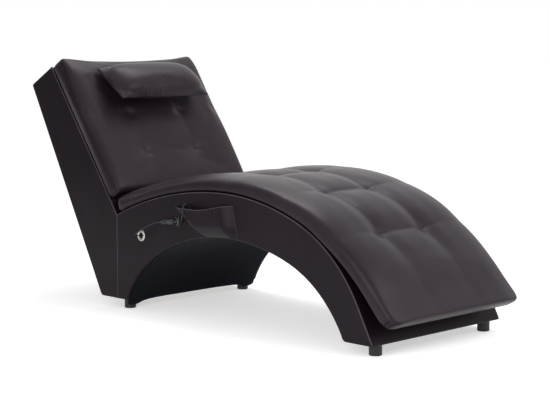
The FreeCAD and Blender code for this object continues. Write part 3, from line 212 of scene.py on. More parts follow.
# the same imitation leather in two copies: the darker one on the carcass panels, the pocket and the cushion undersides
# is painted shade, and the lighter one on the cushions and pillow is painted light
leather = imitationLeather("imitationLeather", "#170d14", "#1f141c", 0.45)
paintedLightPadLeather = imitationLeather("paintedLightPadLeather", "#261b24", "#2f242d", 0.7)
# a third, much lighter copy of the same leather for the welts and the pocket's hem and seams: painted highlight along
# the folded edges
paintedHighlightWelt = imitationLeather("paintedHighlightWelt", "#4a4047", "#5d535a", 0.5)
lining = dustCloth()
footPlastic = mouldedPlastic("footPolypropylene", "#1d1e20", 0.5, 1.2, 0.08)
casePlastic = mouldedPlastic("caseAbs", "#26262a", 0.55, 1.0, 0.06)
handsetPlastic = mouldedPlastic("handsetAbs", "#232327", 0.45, 0.9, 0.06)
buttonPlastic = mouldedPlastic("buttonSilicone", "#8d9094", 0.55, 0.8, 0.03)
cableSheath = mouldedPlastic("cablePvc", "#1b1b1e", 0.42, 1.5, 0.04)
connectorPvc = mouldedPlastic("connectorPvc", "#2a2b2f", 0.38, 1.2, 0.05)
boardMask = mouldedPlastic("solderMask", "#1d5a35", 0.35, 0.7, 0.02)
tieSkin = mouldedPlastic("twistTiePaper", "#5f6663", 0.5, 0.8, 0.05)
nickel = platedMetal("nickelPlate", "#bdb9b4", 0.22, 0.6)
zinc = platedMetal("zincPlate", "#b9bcc0", 0.35, 0.8)
ply = plywood()
tape = hookAndLoop()
print("materials made")

finishOfSlot = {
    "leather": leather, "lining": lining, "board": ply, "steel": zinc, "foot_plastic": footPlastic, "hook_and_loop": tape,
    "case_plastic": casePlastic, "circuit_board": boardMask, "cable": cableSheath, "nickel": nickel,
    "handset_plastic": handsetPlastic, "button_plastic": buttonPlastic,
}
for row in frame["record"]["subparts"]:
    node = frame["nodes"][row["node"]]
    node.data.materials.clear()
    node.data.materials.append(finishOfSlot[row["material_slot"]])
for name in ("cord_plug", "cord_socket"):
    frame["nodes"][name].data.materials[0] = connectorPvc


# camera, fitted to the panels' straight edges in the photograph
camera = {"azimuth": 44.9, "elevation": 6.6, "distance": 4.5078, "lens": 100.19, "reach": 0.4037, "height": 0.3216}
cameraData = bpy.data.cameras.new("camera")
cameraData.lens = camera["lens"]
cameraData.sensor_width = 36.0
cameraData.clip_end = 60.0
cameraPiece = bpy.data.objects.new("camera", cameraData)
scene.collection.objects.link(cameraPiece)
azimuth, elevation = math.radians(camera["azimuth"]), math.radians(camera["elevation"])
backward = Vector((math.sin(azimuth) * math.cos(elevation), -math.cos(azimuth) * math.cos(elevation), math.sin(elevation)))
aim = Vector((seamX + camera["reach"], middleY, camera["height"]))
cameraPiece.location = aim + backward * camera["distance"]
cameraPiece.rotation_euler = backward.to_track_quat("Z", "Y").to_euler()
scene.camera = cameraPiece
print("camera set")


def showMesh(name, mesh, material, body):
    mesh.materials.clear()
    mesh.materials.append(material)
    piece = bpy.data.objects.new(name, mesh)
    scene.collection.objects.link(piece)
    if body:
        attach(piece, body)
    return piece


def faceOut(bm):
    bmesh.ops.recalc_face_normals(bm, faces=bm.faces)
    if all(e.is_manifold for e in bm.edges) and bm.calc_volume(signed=True) < 0:
        bmesh.ops.reverse_faces(bm, faces=bm.faces)


def newPiece(name, bm, material, body):
    faceOut(bm)
    mesh = bpy.data.meshes.new(name)
    for face in bm.faces:
        face.smooth = True
    bm.to_mesh(mesh)
    bm.free()
    return showMesh(name, mesh, material, body)


def placeVerts(bm, place):
    for vert in bm.verts:
        vert.co = place(vert.co)


def cordCurve(name, points, radius, steps=12, sides=4):
    data = bpy.data.curves.new(name, "CURVE")
    data.dimensions = "3D"
    line = data.splines.new("NURBS")
    line.points.add(len(points) - 1)
    for knot, point in zip(line.points, points):
        knot.co = (*point, 1.0)
    line.order_u = 3
    line.use_endpoint_u = True
    line.resolution_u = steps
    data.bevel_depth = radius
    data.bevel_resolution = sides
    data.use_fill_caps = True
    return bpy.data.objects.new(name, data)


def tubeMesh(name, points, radius):
    piece = cordCurve(name, points, radius, 4, 3)
    mesh = bpy.data.meshes.new_from_object(piece)
    bpy.data.objects.remove(piece)
    for face in mesh.polygons:
        face.use_smooth = True
    return mesh


# welts and pocket trims take the lighter leather copy, a painted highlight
def trimTube(name, path, radius):
    return showMesh(name, tubeMesh(name, path, radius), paintedHighlightWelt, "chair")


def spunPiece(name, profile, origin, axis, material):
    # turns a profile of (radius, place along the axis) about the axis
    bm = bmesh.new()
    turn = axis.to_track_quat("Z", "X")
    tip = bm.verts.new(origin + turn @ Vector((profile[0][0], 0, profile[0][1])))
    for radius, along in profile[1:]:
        tip = bmesh.ops.extrude_vert_indiv(bm, verts=[tip])["verts"][0]
        tip.co = origin + turn @ Vector((radius, 0, along))
    bmesh.ops.spin(bm, geom=bm.verts[:] + bm.edges[:], cent=origin, axis=axis, angle=2 * math.pi, steps=48, use_merge=True)
    bmesh.ops.remove_doubles(bm, verts=bm.verts, dist=1e-6)
    piece = newPiece(name, bm, material, "chair")
    crisp = piece.modifiers.new("edges", "EDGE_SPLIT")
    crisp.split_angle = math.radians(50)
    return piece


# cord of the handset: the route's points as in the part's source, from the seam, the right panel and the floor
cord = {
    "diameter": 0.004,
    "grommet": (0.113, -0.0022, 0.232),
    "harness": [(0.113, -0.022, 0.232), (0.131, -0.031, 0.245), (0.156, -0.027, 0.261)],
    "plugStart": (0.209, -0.0083, 0.281), "tilt": 6.6, "turn": 6.0, "plugLead": 0.022, "pairLength": 0.088, "socketLead": 0.0175,
    "handset": [(0.327, -0.030, 0.2985), (0.340, -0.039, 0.309), (0.344, -0.0395, 0.322), (0.3435, -0.038, 0.347),
                (0.342, -0.008, 0.347), (0.341, -0.008, 0.320), (0.346, -0.008, 0.307)],
    "glandLead": 0.013, "blendLead": 0.004,
}
cordOrigin = Vector((seamX, panelY, 0))
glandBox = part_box("handset_gland")
glandEnd = Vector((glandBox[0].x, (glandBox[0].y + glandBox[1].y) / 2, (glandBox[0].z + glandBox[1].z) / 2))
swing = math.radians(cord["turn"])
pairAxis = lean(90 - cord["tilt"]) * math.cos(swing) - Vector((0, math.sin(swing), 0))
plugStart = cordOrigin + Vector(cord["plugStart"])
socketEnd = plugStart + pairAxis * cord["pairLength"]


connector = {"relief": 0.019, "body": 0.026, "thin": 0.0028, "thick": 0.0052, "radius": 0.0075, "socketRadius": 0.008,
             "groove": 0.001, "grooves": 3, "slope": 0.0004, "rings": 5, "ring": 0.0007, "chamfer": 0.001, "split": 0.0001,
             "socketChamfer": 0.0012, "socketRound": 0.0015}


def reliefProfile(along, shift):
    # ringed sleeve that takes the bend out of the cord
    step = connector["relief"] / (2 * connector["rings"])
    points = []
    for i in range(2 * connector["rings"] + 1):
        share = i / (2 * connector["rings"])
        radius = connector["thin"] + (connector["thick"] - connector["thin"]) * share - (connector["ring"] if i % 2 else 0.0)
        points.append((radius, along + shift * step * i))
    return points


bodyStart = connector["relief"]
bodyEnd = bodyStart + connector["body"]
pitch = connector["body"] / (2 * connector["grooves"] + 1)
plugRadius, plugEdge = connector["radius"], connector["radius"] - connector["chamfer"]
plugProfile = [(0.0, 0.0)] + reliefProfile(0.0, 1) + [(plugEdge, bodyStart), (plugRadius, bodyStart + connector["chamfer"])]
for i in range(connector["grooves"]):
    near, far = bodyStart + pitch * (2 * i + 1), bodyStart + pitch * (2 * i + 2)
    grooveRadius = plugRadius - connector["groove"]
    plugProfile += [(plugRadius, near), (grooveRadius, near + connector["slope"]),
                    (grooveRadius, far - connector["slope"]), (plugRadius, far)]
plugEnd = bodyEnd - connector["split"]
plugProfile += [(plugRadius, bodyEnd - connector["chamfer"]), (plugEdge, plugEnd), (0.0, plugEnd)]
cordPlug = spunPiece("cordPlug", plugProfile, plugStart, pairAxis, connectorPvc)
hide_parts("cord_plug")
socketRadius = connector["socketRadius"]
socketStart, socketStop = bodyEnd + connector["split"], bodyEnd + connector["body"]
socketProfile = [(0.0, socketStart), (socketRadius - connector["socketChamfer"], socketStart),
                 (socketRadius, socketStart + connector["socketChamfer"]), (socketRadius, socketStop - connector["socketRound"]),
                 (socketRadius - connector["socketRound"], socketStop)]
socketProfile += reliefProfile(cord["pairLength"], -1)[::-1] + [(0.0, cord["pairLength"])]
cordSocket = spunPiece("cordSocket", socketProfile, plugStart, pairAxis, connectorPvc)
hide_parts("cord_socket")

eyelet = {"bore": 0.009, "barrel": 0.010, "radius": 0.017, "crown": 0.0022, "depth": 0.0185}      # rolled rim of a pressed eyelet
rollMiddle = (eyelet["barrel"] + eyelet["radius"]) / 2
bore, barrel, rim, depth = (eyelet[key] for key in ("bore", "barrel", "radius", "depth"))
eyeletProfile = [(bore, -depth), (bore, 0.0), (bore + 0.0006, 0.0011), (bore + 0.0018, 0.0019), (rollMiddle, eyelet["crown"]),
                 (rim - 0.0018, 0.0017), (rim - 0.0005, 0.0009), (rim, 0.0), (barrel, 0.0), (barrel, -depth), (bore, -depth)]
eyeletSpot = cordOrigin + Vector((cord["grommet"][0], 0, cord["grommet"][2]))
cordEyelet = spunPiece("cordEyelet", eyeletProfile, eyeletSpot, Vector((0, -1, 0)), nickel)
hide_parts("grommet")

harnessPoints = [cordOrigin + Vector(p) for p in [cord["grommet"]] + cord["harness"]]
harnessPoints += [plugStart - pairAxis * cord["plugLead"], plugStart]
harnessCord = cordCurve("harnessCord", harnessPoints, cord["diameter"] / 2)
scene.collection.objects.link(harnessCord)
harnessCord.data.materials.append(cableSheath)
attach(harnessCord, "chair")
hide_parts("harness_cord")

handsetPoints = [socketEnd, socketEnd + pairAxis * cord["socketLead"]] + [cordOrigin + Vector(p) for p in cord["handset"]]
handsetPoints += [glandEnd - Vector((cord["glandLead"], 0, 0)), glandEnd]
routeCurve = cordCurve("handsetRoute", handsetPoints, 0.0)
routeLine = bpy.data.meshes.new_from_object(routeCurve)
routeCurve.data.bevel_depth = cord["diameter"] / 2
handsetCord = showMesh("handsetCord", bpy.data.meshes.new_from_object(routeCurve), cableSheath, None)
for face in handsetCord.data.polygons:
    face.use_smooth = True
bpy.data.objects.remove(routeCurve)
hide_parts("handset_cord")
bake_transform(handsetCord)

# paper twist tie that shortens the cord
tie = {"wire": 0.0009, "turnRadius": 0.0034, "half": 0.0125, "spread": 0.0075, "lead": 0.008, "knots": 12, "clear": 0.001,
       "waist": 0.4, "rearTip": 0.002, "frontTip": 0.003}
tieSpot = socketEnd + pairAxis * tie["lead"]
tieOut = Vector((0, -1, 0))
tieRun = pairAxis.cross(tieOut).normalized()
angles = [2 * math.pi * share for share in shares(tie["knots"])]
tiePaths = [[tieSpot + (tieOut * math.cos(a) + tieRun * math.sin(a)) * tie["turnRadius"] for a in angles]]
for side in (-1, 1):
    crossing = tieSpot + tieOut * (tie["turnRadius"] + tie["clear"])
    slant = tieRun * tie["half"] + pairAxis * (side * tie["spread"])
    tiePaths.append([crossing - slant + tieOut * tie["rearTip"], crossing - slant * tie["waist"], crossing,
                     crossing + slant * tie["waist"], crossing + slant + tieOut * tie["frontTip"]])
for index, path in enumerate(tiePaths):
    showMesh("twistTie" + str(index + 1), tubeMesh("twistTie", path, tie["wire"]), tieSkin, "chair")
print("cords laid")


# carcass covers
seatLine = {"rearHeight": 0.2846, "peakHeight": 0.3845, "peakReach": 0.462, "crownRadius": 0.77, "crownSweep": 22.0,
            "kneeRadius": 0.44, "frontSlope": 62.0}
archLine = {"peakHeight": 0.26, "peakReach": 0.477, "frontRadius": 0.685, "frontSweep": 20.8, "toeRadius": 0.376,
            "rearRadius": 0.6, "rearSweep": 29.2, "heelRadius": 0.336}
backWedge = {"rearHeight": 0.664, "topDepth": 0.118, "topTilt": 60.2, "recline": 35.5, "rearLean": 27.95}

seatRise = seatLine["peakHeight"] - seatLine["rearHeight"]
rearRadius = (seatLine["peakReach"] ** 2 + seatRise ** 2) / (2 * seatRise)
seatPeak = Vector((seamX + seatLine["peakReach"], middleY, seatLine["peakHeight"]))
rearCentre = seatPeak - lean(0) * rearRadius
crownCentre = seatPeak - lean(0) * seatLine["crownRadius"]
kneeCentre = crownCentre + lean(seatLine["crownSweep"]) * (seatLine["crownRadius"] - seatLine["kneeRadius"])
rearTilt = -math.degrees(math.asin(seatLine["peakReach"] / rearRadius))
rearRun = rearRadius * math.radians(-rearTilt)
crownRun = seatLine["crownRadius"] * math.radians(seatLine["crownSweep"])
kneeRun = seatLine["kneeRadius"] * math.radians(seatLine["frontSlope"] - seatLine["crownSweep"])
kneeEnd = kneeCentre + lean(seatLine["frontSlope"]) * seatLine["kneeRadius"]
frontAlong = lean(seatLine["frontSlope"] + 90)
frontRun = (kneeEnd.z - bottomZ) / math.sin(math.radians(seatLine["frontSlope"]))
seatRun = rearRun + crownRun + kneeRun + frontRun
seatArcs = [(rearCentre, rearRadius, rearTilt, rearRun), (crownCentre, seatLine["crownRadius"], 0.0, crownRun),
            (kneeCentre, seatLine["kneeRadius"], seatLine["crownSweep"], kneeRun)]


def arcPlace(arcs, along):
    # spot and tilt at a run along a chain of arcs, of which the last goes on
    for centre, radius, tilt, run in arcs:
        if along <= run:
            break
        along -= run
    else:
        along += run
    tilt += math.degrees(along / radius)
    return centre + lean(tilt) * radius, tilt


def seatPlace(along):
    past = along - rearRun - crownRun - kneeRun
    if past > 0:
        return kneeEnd + frontAlong * past, seatLine["frontSlope"]
    return arcPlace(seatArcs, along)


archPeak = Vector((seamX + archLine["peakReach"], middleY, archLine["peakHeight"]))
archFrontCentre = archPeak - lean(0) * archLine["frontRadius"]
archToeCentre = archFrontCentre + lean(archLine["frontSweep"]) * (archLine["frontRadius"] - archLine["toeRadius"])
archRearCentre = archPeak - lean(0) * archLine["rearRadius"]
archHeelCentre = archRearCentre + lean(-archLine["rearSweep"]) * (archLine["rearRadius"] - archLine["heelRadius"])
toeTilt = math.degrees(math.acos((bottomZ - archToeCentre.z) / archLine["toeRadius"]))
heelTilt = -math.degrees(math.acos((bottomZ - archHeelCentre.z) / archLine["heelRadius"]))
archArcs = [(archHeelCentre, archLine["heelRadius"], heelTilt, -archLine["rearSweep"] - heelTilt),
            (archRearCentre, archLine["rearRadius"], -archLine["rearSweep"], archLine["rearSweep"]),
            (archFrontCentre, archLine["frontRadius"], 0.0, archLine["frontSweep"]),
            (archToeCentre, archLine["toeRadius"], archLine["frontSweep"], toeTilt - archLine["frontSweep"])]
archArcs = [(centre, radius, tilt, radius * math.radians(sweep)) for centre, radius, tilt, sweep in archArcs]
archRun = sum(arc[3] for arc in archArcs)


def archPlace(along):
    return arcPlace(archArcs, along)


faceTilt = 90 - backWedge["recline"]
frontTop = Vector((0, middleY, 0))
faceDown = lean(180 - backWedge["recline"])
rearDown = lean(180 - backWedge["rearLean"])
frontTop.z = backWedge["rearHeight"] + backWedge["topDepth"] * lean(backWedge["topTilt"]).z
frontTop.x = seamX - (frontTop.z - seatLine["rearHeight"]) * math.tan(math.radians(backWedge["recline"]))
rearTop = frontTop - lean(backWedge["topTilt"]) * backWedge["topDepth"]


def backPlace(down):
    return frontTop + faceDown * down, faceTilt


def arcStroke(bm, tip, centre, degrees, steps):
    made = bmesh.ops.spin(bm, geom=[tip], cent=centre, axis=(0, 1, 0), angle=math.radians(degrees), steps=steps, use_duplicate=False)
    return [g for g in made["geom_last"] if isinstance(g, bmesh.types.BMVert)][0]


def lineStroke(bm, tip, point):
    tip = bmesh.ops.extrude_vert_indiv(bm, verts=[tip])["verts"][0]
    tip.co = point
    return tip


def upholster(bm, corners, roundings, rim):
    # rounds the outline's corners, thickens it across the chair and softens both rims
    for corner, radius in zip(corners, roundings):
        bmesh.ops.bevel(bm, geom=[corner], offset=radius, offset_type="OFFSET", segments=5, profile=0.5, affect="VERTICES", material=-1)
    for vert in bm.verts:
        vert.co.y = middleY - halfWidth
    panel = max(bm.faces, key=lambda f: f.calc_area())
    moved = [g for g in bmesh.ops.extrude_face_region(bm, geom=[panel])["geom"] if isinstance(g, bmesh.types.BMVert)]
    bmesh.ops.translate(bm, verts=moved, vec=(0, 2 * halfWidth, 0))
    rims = [e for e in bm.edges if abs(e.verts[0].co.y - e.verts[1].co.y) < 1e-6]
    bmesh.ops.bevel(bm, geom=rims, offset=rim, offset_type="OFFSET", segments=4, profile=0.5, affect="EDGES", material=-1)
    faceOut(bm)


def skinPiece(name, bm, thickness):
    piece = newPiece(name, bm, leather, "chair")
    for face in piece.data.polygons:
        if abs(face.normal.y) > 0.999 and face.area > 0.01:
            face.use_smooth = False
    wall = piece.modifiers.new("thickness", "SOLIDIFY")
    wall.thickness = thickness
    wall.offset = -1.0
    return piece


cover = {"rim": 0.0035, "thickness": 0.0018, "hem": 0.016, "drop": 0.0016, "toeRun": 0.02,
         "seatCorners": (0.0055, 0.006, 0.008, 0.005, 0.006), "backCorners": (0.0068, 0.0055, 0.0055, 0.006, 0.0078)}

coverZ = bottomZ - cover["drop"]
seamTop = Vector((seamX, middleY, seatLine["rearHeight"]))
seamBottom = Vector((seamX, middleY, coverZ))

bm = bmesh.new()
first = bm.verts.new(seatPlace(0)[0])
tip = first
for centre, sweep, steps in ((rearCentre, -rearTilt, 20), (crownCentre, seatLine["crownSweep"], 12),
                             (kneeCentre, seatLine["frontSlope"] - seatLine["crownSweep"], 12)):
    tip = arcStroke(bm, tip, centre, sweep, steps)
toe = lineStroke(bm, tip, seatPlace(seatRun + cover["drop"])[0])
toe.co.z = coverZ
archEnd = archPlace(archRun)[0]
archToe = heel = lineStroke(bm, toe, archEnd - lean(toeTilt) * cover["drop"])
for centre, sweep, steps in ((archToeCentre, archLine["frontSweep"] - toeTilt, 12), (archFrontCentre, -archLine["frontSweep"], 10),
                             (archRearCentre, -archLine["rearSweep"], 12), (archHeelCentre, heelTilt + archLine["rearSweep"], 12)):
    heel = arcStroke(bm, heel, centre, sweep, steps)
archToe.co.z = heel.co.z = coverZ
seamFoot = lineStroke(bm, heel, seamBottom)
bm.edges.new((seamFoot, first))
bmesh.ops.contextual_create(bm, geom=bm.edges[:])
upholster(bm, (first, toe, archToe, heel, seamFoot), cover["seatCorners"], cover["rim"])
hidden = [f for f in bm.faces if f.normal.x < -0.99 and abs(f.calc_center_median().x - seamX) < 1e-4]
bmesh.ops.delete(bm, geom=hidden, context="FACES")
hemY = halfWidth - cover["hem"]
for side in (-1, 1):
    bmesh.ops.bisect_plane(bm, geom=bm.verts[:] + bm.edges[:] + bm.faces[:], plane_co=(0, middleY + side * hemY, 0), plane_no=(0, 1, 0))
inner = [f for f in bm.faces if f.normal.z < -0.05 and abs(f.calc_center_median().y - middleY) < hemY
         and f.calc_center_median().x < archEnd.x + cover["toeRun"]]
bmesh.ops.delete(bm, geom=inner, context="FACES")
seatCover = skinPiece("seatCover", bm, cover["thickness"])
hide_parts("seat_cover_right", "seat_cover_left", "seat_cover_top")

bm = bmesh.new()
backCorners = [bm.verts.new(rearTop)]
for point in (frontTop, seamTop, seamBottom, rearTop + rearDown * ((rearTop.z - coverZ) / -rearDown.z)):
    backCorners.append(lineStroke(bm, backCorners[-1], point))
bm.edges.new((backCorners[-1], backCorners[0]))
bmesh.ops.contextual_create(bm, geom=bm.edges[:])
upholster(bm, backCorners, cover["backCorners"], cover["rim"])
hidden = [f for f in bm.faces if f.normal.x > 0.99 and abs(f.calc_center_median().x - seamX) < 1e-4]
bmesh.ops.delete(bm, geom=hidden, context="FACES")
backCover = skinPiece("backCover", bm, cover["thickness"])
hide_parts("back_cover_right", "back_cover_left", "back_cover_wrap")


welt = {"radius": 0.0022, "inset": 0.0021, "seatKnots": 60, "backKnots": 20, "seamKnots": 12, "short": 0.003}
faceRun = (frontTop - seamTop).length


def weltRun(name, points, side):
    shift = Vector((0, side * (halfWidth - welt["inset"]), 0))
    trimTube(name, [p + shift for p in points], welt["radius"])


for side, label in ((-1, "Right"), (1, "Left")):
    run = [seatPlace((seatRun - welt["short"]) * share) for share in shares(welt["seatKnots"])]
    weltRun("seatWelt" + label, [p - lean(tilt) * welt["inset"] for p, tilt in run], side)
    run = [backPlace(faceRun * share) for share in shares(welt["backKnots"])]
    weltRun("backWelt" + label, [p - lean(tilt) * welt["inset"] for p, tilt in run], side)
    weltRun("seamWelt" + label, [seamBottom.lerp(seamTop, share) for share in shares(welt["seamKnots"])], side)
print("carcass covers made")


# cloth in the arch
archCloth = {"inset": 0.007, "drop": 0.0026, "sag": 0.004, "hem": 0.006, "footHem": 0.014, "footReach": 0.014, "footRun": 0.024,
             "ripple": 0.0012, "calm": 0.06, "wall": 0.0008, "columns": 72, "rows": 130}
rearFeet = [(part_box(n)[0].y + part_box(n)[1].y) / 2 for n in ("rear_foot_right", "rear_foot_left")]


def placeArchCloth(co):
    y = co.y * 2 * (halfWidth - archCloth["inset"])
    share = co.x + 0.5
    reach = min(abs(middleY + y - foot) for foot in rearFeet)
    hem = archCloth["hem"] + archCloth["footHem"] * math.exp(-max(0.0, reach - archCloth["footReach"]) / archCloth["footRun"])
    along = -hem + (archRun + hem) * share
    point, tilt = archPlace(max(along, 0.0))
    if along < 0:
        point = point + lean(tilt + 90) * along
    slack = math.sin(math.pi * min(max(share, 0), 1)) * (1 - (2 * co.y) ** 2)
    ripple = archCloth["ripple"] * noise.noise(Vector((point.x * 9, y * 14, 3.0))) * smoothStep(0.0, archCloth["calm"], 0.5 - abs(co.y))
    return point + Vector((0, y, 0)) - lean(tilt) * (archCloth["drop"] + archCloth["sag"] * slack + ripple)


bm = bmesh.new()
bmesh.ops.create_grid(bm, x_segments=archCloth["rows"], y_segments=archCloth["columns"], size=0.5)
placeVerts(bm, placeArchCloth)
archPiece = newPiece("archCloth", bm, lining, "chair")
clothWall = archPiece.modifiers.new("thickness", "SOLIDIFY")
clothWall.thickness = archCloth["wall"]
clothWall.offset = 0.0
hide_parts("dust_cover")
print("arch cloth stretched")


# cushions

def blockGrid(cells):
    bm = bmesh.new()
    bmesh.ops.create_cube(bm, size=1.0)
    for axis, count in enumerate(cells):
        along = [e for e in bm.edges if abs((e.verts[1].co - e.verts[0].co)[axis]) > 0.9 * e.calc_length()]
        bmesh.ops.subdivide_edges(bm, edges=along, cuts=count - 1, use_grid_fill=True)
    return bm


def rounded(co, size, radius):
    # presses a point of the unit block's skin onto a block of that size with round edges
    point = Vector([c * s for c, s in zip(co, size)])
    core = Vector([max(-s / 2 + radius, min(s / 2 - radius, c)) for c, s in zip(point, size)])
    out = point - core
    return core + out.normalized() * radius if out.length > 1e-9 else point


def cornered(spot, size, radius):
    # draws the corners of the plan in to a radius
    core = Vector([max(-s / 2 + radius, min(s / 2 - radius, c)) for c, s in zip(spot, size)])
    out = spot - core
    if min(abs(out.x), abs(out.y)) < 1e-9:
        return spot
    return core + out * (max(abs(out.x), abs(out.y)) / out.length)


def bulge(distance, run):
    share = min(max(distance / run, 0.0), 1.0)
    return 1 - (1 - share) ** 2


def quilt(pad, along, across):
    # how far the filling stands up at a place: pillows between the drawn-in rows and columns, deepest where they cross
    rowAway = min(abs(along - row) for row in pad["rows"])
    columnAway = abs(abs(across) - pad["column"])
    outside = max(pad["rows"][0] - along, along - pad["rows"][-1], 0.0)
    rowShare = pad["rowDraw"]
    if abs(across) >= pad["column"]:
        rowShare = pad["rowEnds"] + (pad["rowDraw"] - pad["rowEnds"]) * math.exp(-columnAway / pad["rowFade"])
    nearRow = math.exp(-(rowAway / pad["columnNear"]) ** 2)
    columnShare = (pad["columnDraw"] + (1 - pad["columnDraw"]) * nearRow) * math.exp(-outside / pad["fade"])
    rowDip = rowShare * (1 - bulge(rowAway, pad["rowRun"]))
    columnDip = columnShare * (1 - bulge(columnAway, pad["columnRun"]))
    tuft = math.exp(-(rowAway ** 2 + columnAway ** 2) / pad["tuftSpread"] ** 2)
    line = math.exp(-(rowAway / pad["lineWidth"]) ** 2) * smoothStep(halfWidth - pad["lineEdge"], pad["column"], abs(across))
    return pad["puff"] * (1 - rowDip) * (1 - columnDip) - pad["tuftDip"] * tuft - pad["lineDip"] * line


padBase = {                                             # what both cushions share
    "start": -0.001, "rearRun": 0.15, "liftPower": 1.6, "rowRun": 0.07, "rowDraw": 0.8, "rowEnds": 0.12, "rowFade": 0.035,
    "columnDraw": 0.6, "columnNear": 0.05, "lineWidth": 0.0055, "lineEdge": 0.02, "tailFrom": 0.38, "topFrom": 0.45,
    "crownStretch": 1.5, "crownLead": 0.02, "dipRun": 0.05, "tapeFlat": 0.042, "tapeRun": 0.125, "tapeStretch": 1.3,
    "calmFrom": 0.36, "calmFull": 0.46, "underHeld": -0.3, "topSkin": 0.49, "bending": 2.0,
}
seatPad = padBase | {
    "end": seatRun - 0.0215, "gap": 0.0016, "edge": 0.038, "puff": 0.0135, "tuftDip": 0.005, "tuftSpread": 0.016, "tuftHold": 0.009,
    "rearRise": 0.010, "thin": 0.008, "thinRun": 0.85, "thinPower": 0.6, "belly": 0.0, "bellyRun": 0.08, "bellyTail": 0.08,
    "lift": 0.053, "liftRun": 0.3, "round": 0.0165, "underRound": 0.007, "drawIn": 0.0, "corner": 0.03, "paintedShadeSlope": -0.3,
    "rows": (0.278, 0.488, 0.698, 0.902), "column": 0.087, "columnRun": 0.06, "fade": 0.12, "lineDip": 0.0016,
    "cells": (180, 60, 5), "pressure": 1.5, "cap": 0.005, "crown": 0.011, "crownRun": 0.085, "topDip": 0.0,
    "tailCrown": 8.0, "tailSharp": 0.007, "tailCalm": 1.0, "tapeRise": 0.0, "tapeSpot": 0.0,
}
backPad = padBase | {
    "end": 0.485, "gap": 0.0006, "edge": 0.050, "puff": 0.0035, "tuftDip": 0.006, "tuftSpread": 0.018, "tuftHold": 0.011,
    "rearRise": 0.002, "thin": 0.0, "thinRun": 0.5, "thinPower": 1.0, "belly": 0.012, "bellyRun": 0.07, "bellyTail": 0.22,
    "lift": 0.0, "liftRun": 0.1, "round": 0.013, "underRound": 0.010, "drawIn": -0.001, "corner": 0.012, "paintedShadeSlope": -0.75,
    "rows": (0.219, 0.360), "column": 0.102, "columnRun": 0.07, "fade": 0.06, "lineDip": 0.0,
    "cells": (64, 66, 7), "pressure": 1.2, "cap": 0.004, "crown": 0.0025, "crownRun": 0.045, "topDip": 0.015,
    "tailCrown": 1.0, "tailSharp": 0.0, "tailCalm": 0.0, "tapeRise": 0.0058, "tapeSpot": 0.112,     # full behind the pillow's tape
}
clothBag = {"quality": 5, "mass": 0.3, "stiffness": 25.0, "frames": 20}


def swellBag(bm, bag):
    # blows a closed leather bag up from inside with Blender's cloth and gives the capped moves back to its vertices
    mesh = bpy.data.meshes.new("bag")
    bm.to_mesh(mesh)
    dummy = bpy.data.objects.new("bag", mesh)
    scene.collection.objects.link(dummy)
    cloth = dummy.modifiers.new("cloth", "CLOTH")
    settings = cloth.settings
    settings.quality = clothBag["quality"]
    settings.mass = clothBag["mass"]
    settings.tension_stiffness = settings.compression_stiffness = clothBag["stiffness"]
    settings.shear_stiffness = clothBag["stiffness"] / 3
    settings.bending_stiffness = bag["bending"]
    settings.use_pressure = True
    settings.uniform_pressure_force = bag["pressure"]
    settings.effector_weights.gravity = 0.0
    for weights, field in ((bag["held"], "vertex_group_mass"), (bag["drawn"], "vertex_group_shrink")):
        group = dummy.vertex_groups.new(name=field)
        for index, weight in weights.items():
            group.add([index], weight, "REPLACE")
        setattr(settings, field, group.name)
    settings.shrink_min, settings.shrink_max = 0.0, bag["shrink"]
    cloth.point_cache.frame_start = 1
    cloth.point_cache.frame_end = clothBag["frames"]
    for step in range(1, clothBag["frames"] + 1):
        scene.frame_set(step)
    soft = dummy.evaluated_get(bpy.context.evaluated_depsgraph_get())
    for vert, swollen in zip(bm.verts, soft.data.vertices):
        move = swollen.co - vert.co
        vert.co += move * min(1.0, bag["cap"] / max(move.length, 1e-9)) * bag["share"].get(vert.index, 1.0)
    scene.frame_set(1)
    bpy.data.objects.remove(dummy)
    bpy.data.meshes.remove(mesh)


def padPlacer(pad, place):
    length = pad["end"] - pad["start"]
    size = (length, 2 * halfWidth, pad["edge"])

    def put(co):
        topRound = pad["round"] - pad["tailSharp"] * smoothStep(pad["tailFrom"], 0.5, co.x)
        soft = rounded(co, size, topRound if co.z > 0 else pad["underRound"])
        soft.xy = cornered(soft.xy, size, pad["corner"])
        along = soft.x + length / 2 + pad["start"]
        share = 2 * soft.x / length
        across = soft.y * (1 - pad["drawIn"] * (1 - share ** 2) / halfWidth)
        up = soft.z / pad["edge"] + 0.5
        top = smoothStep(pad["topFrom"], 1.0, up)
        fromStart = max(0.0, along - pad["start"])
        full = min(1.0, fromStart / pad["bellyRun"], max(0.0, pad["end"] - along) / pad["bellyTail"])
        thin = pad["thin"] * math.sin(math.pi * min(1.0, fromStart / pad["thinRun"]) ** pad["thinPower"])
        belly = pad["belly"] * math.sin(math.pi / 2 * full)
        thick = pad["edge"] + pad["rearRise"] * max(0.0, 1 - fromStart / pad["rearRun"]) + belly - thin
        lift = pad["gap"] + pad["lift"] * (max(0.0, along - pad["end"] + pad["liftRun"]) / pad["liftRun"]) ** pad["liftPower"]
        endAway = min(fromStart, (pad["end"] - along) * pad["tailCrown"]) * pad["crownStretch"] + pad["crownLead"]
        crown = pad["crown"] * (1 - bulge(halfWidth - abs(across), pad["crownRun"]) * bulge(endAway, pad["crownRun"]))
        tapeAway = math.hypot(pad["tapeStretch"] * (along - pad["tapeSpot"]), across)
        tape = pad["tapeRise"] * (1 - smoothStep(pad["tapeFlat"], pad["tapeRun"], tapeAway))
        height = lift + thick * up + (quilt(pad, along, across) - crown + tape) * top
        along += pad["topDip"] * (1 - (across / halfWidth) ** 2) * smoothStep(pad["dipRun"], 0.0, along - pad["start"])
        origin, tilt = place(along)
        return origin + lean(tilt) * height + Vector((0, across, 0))

    return put


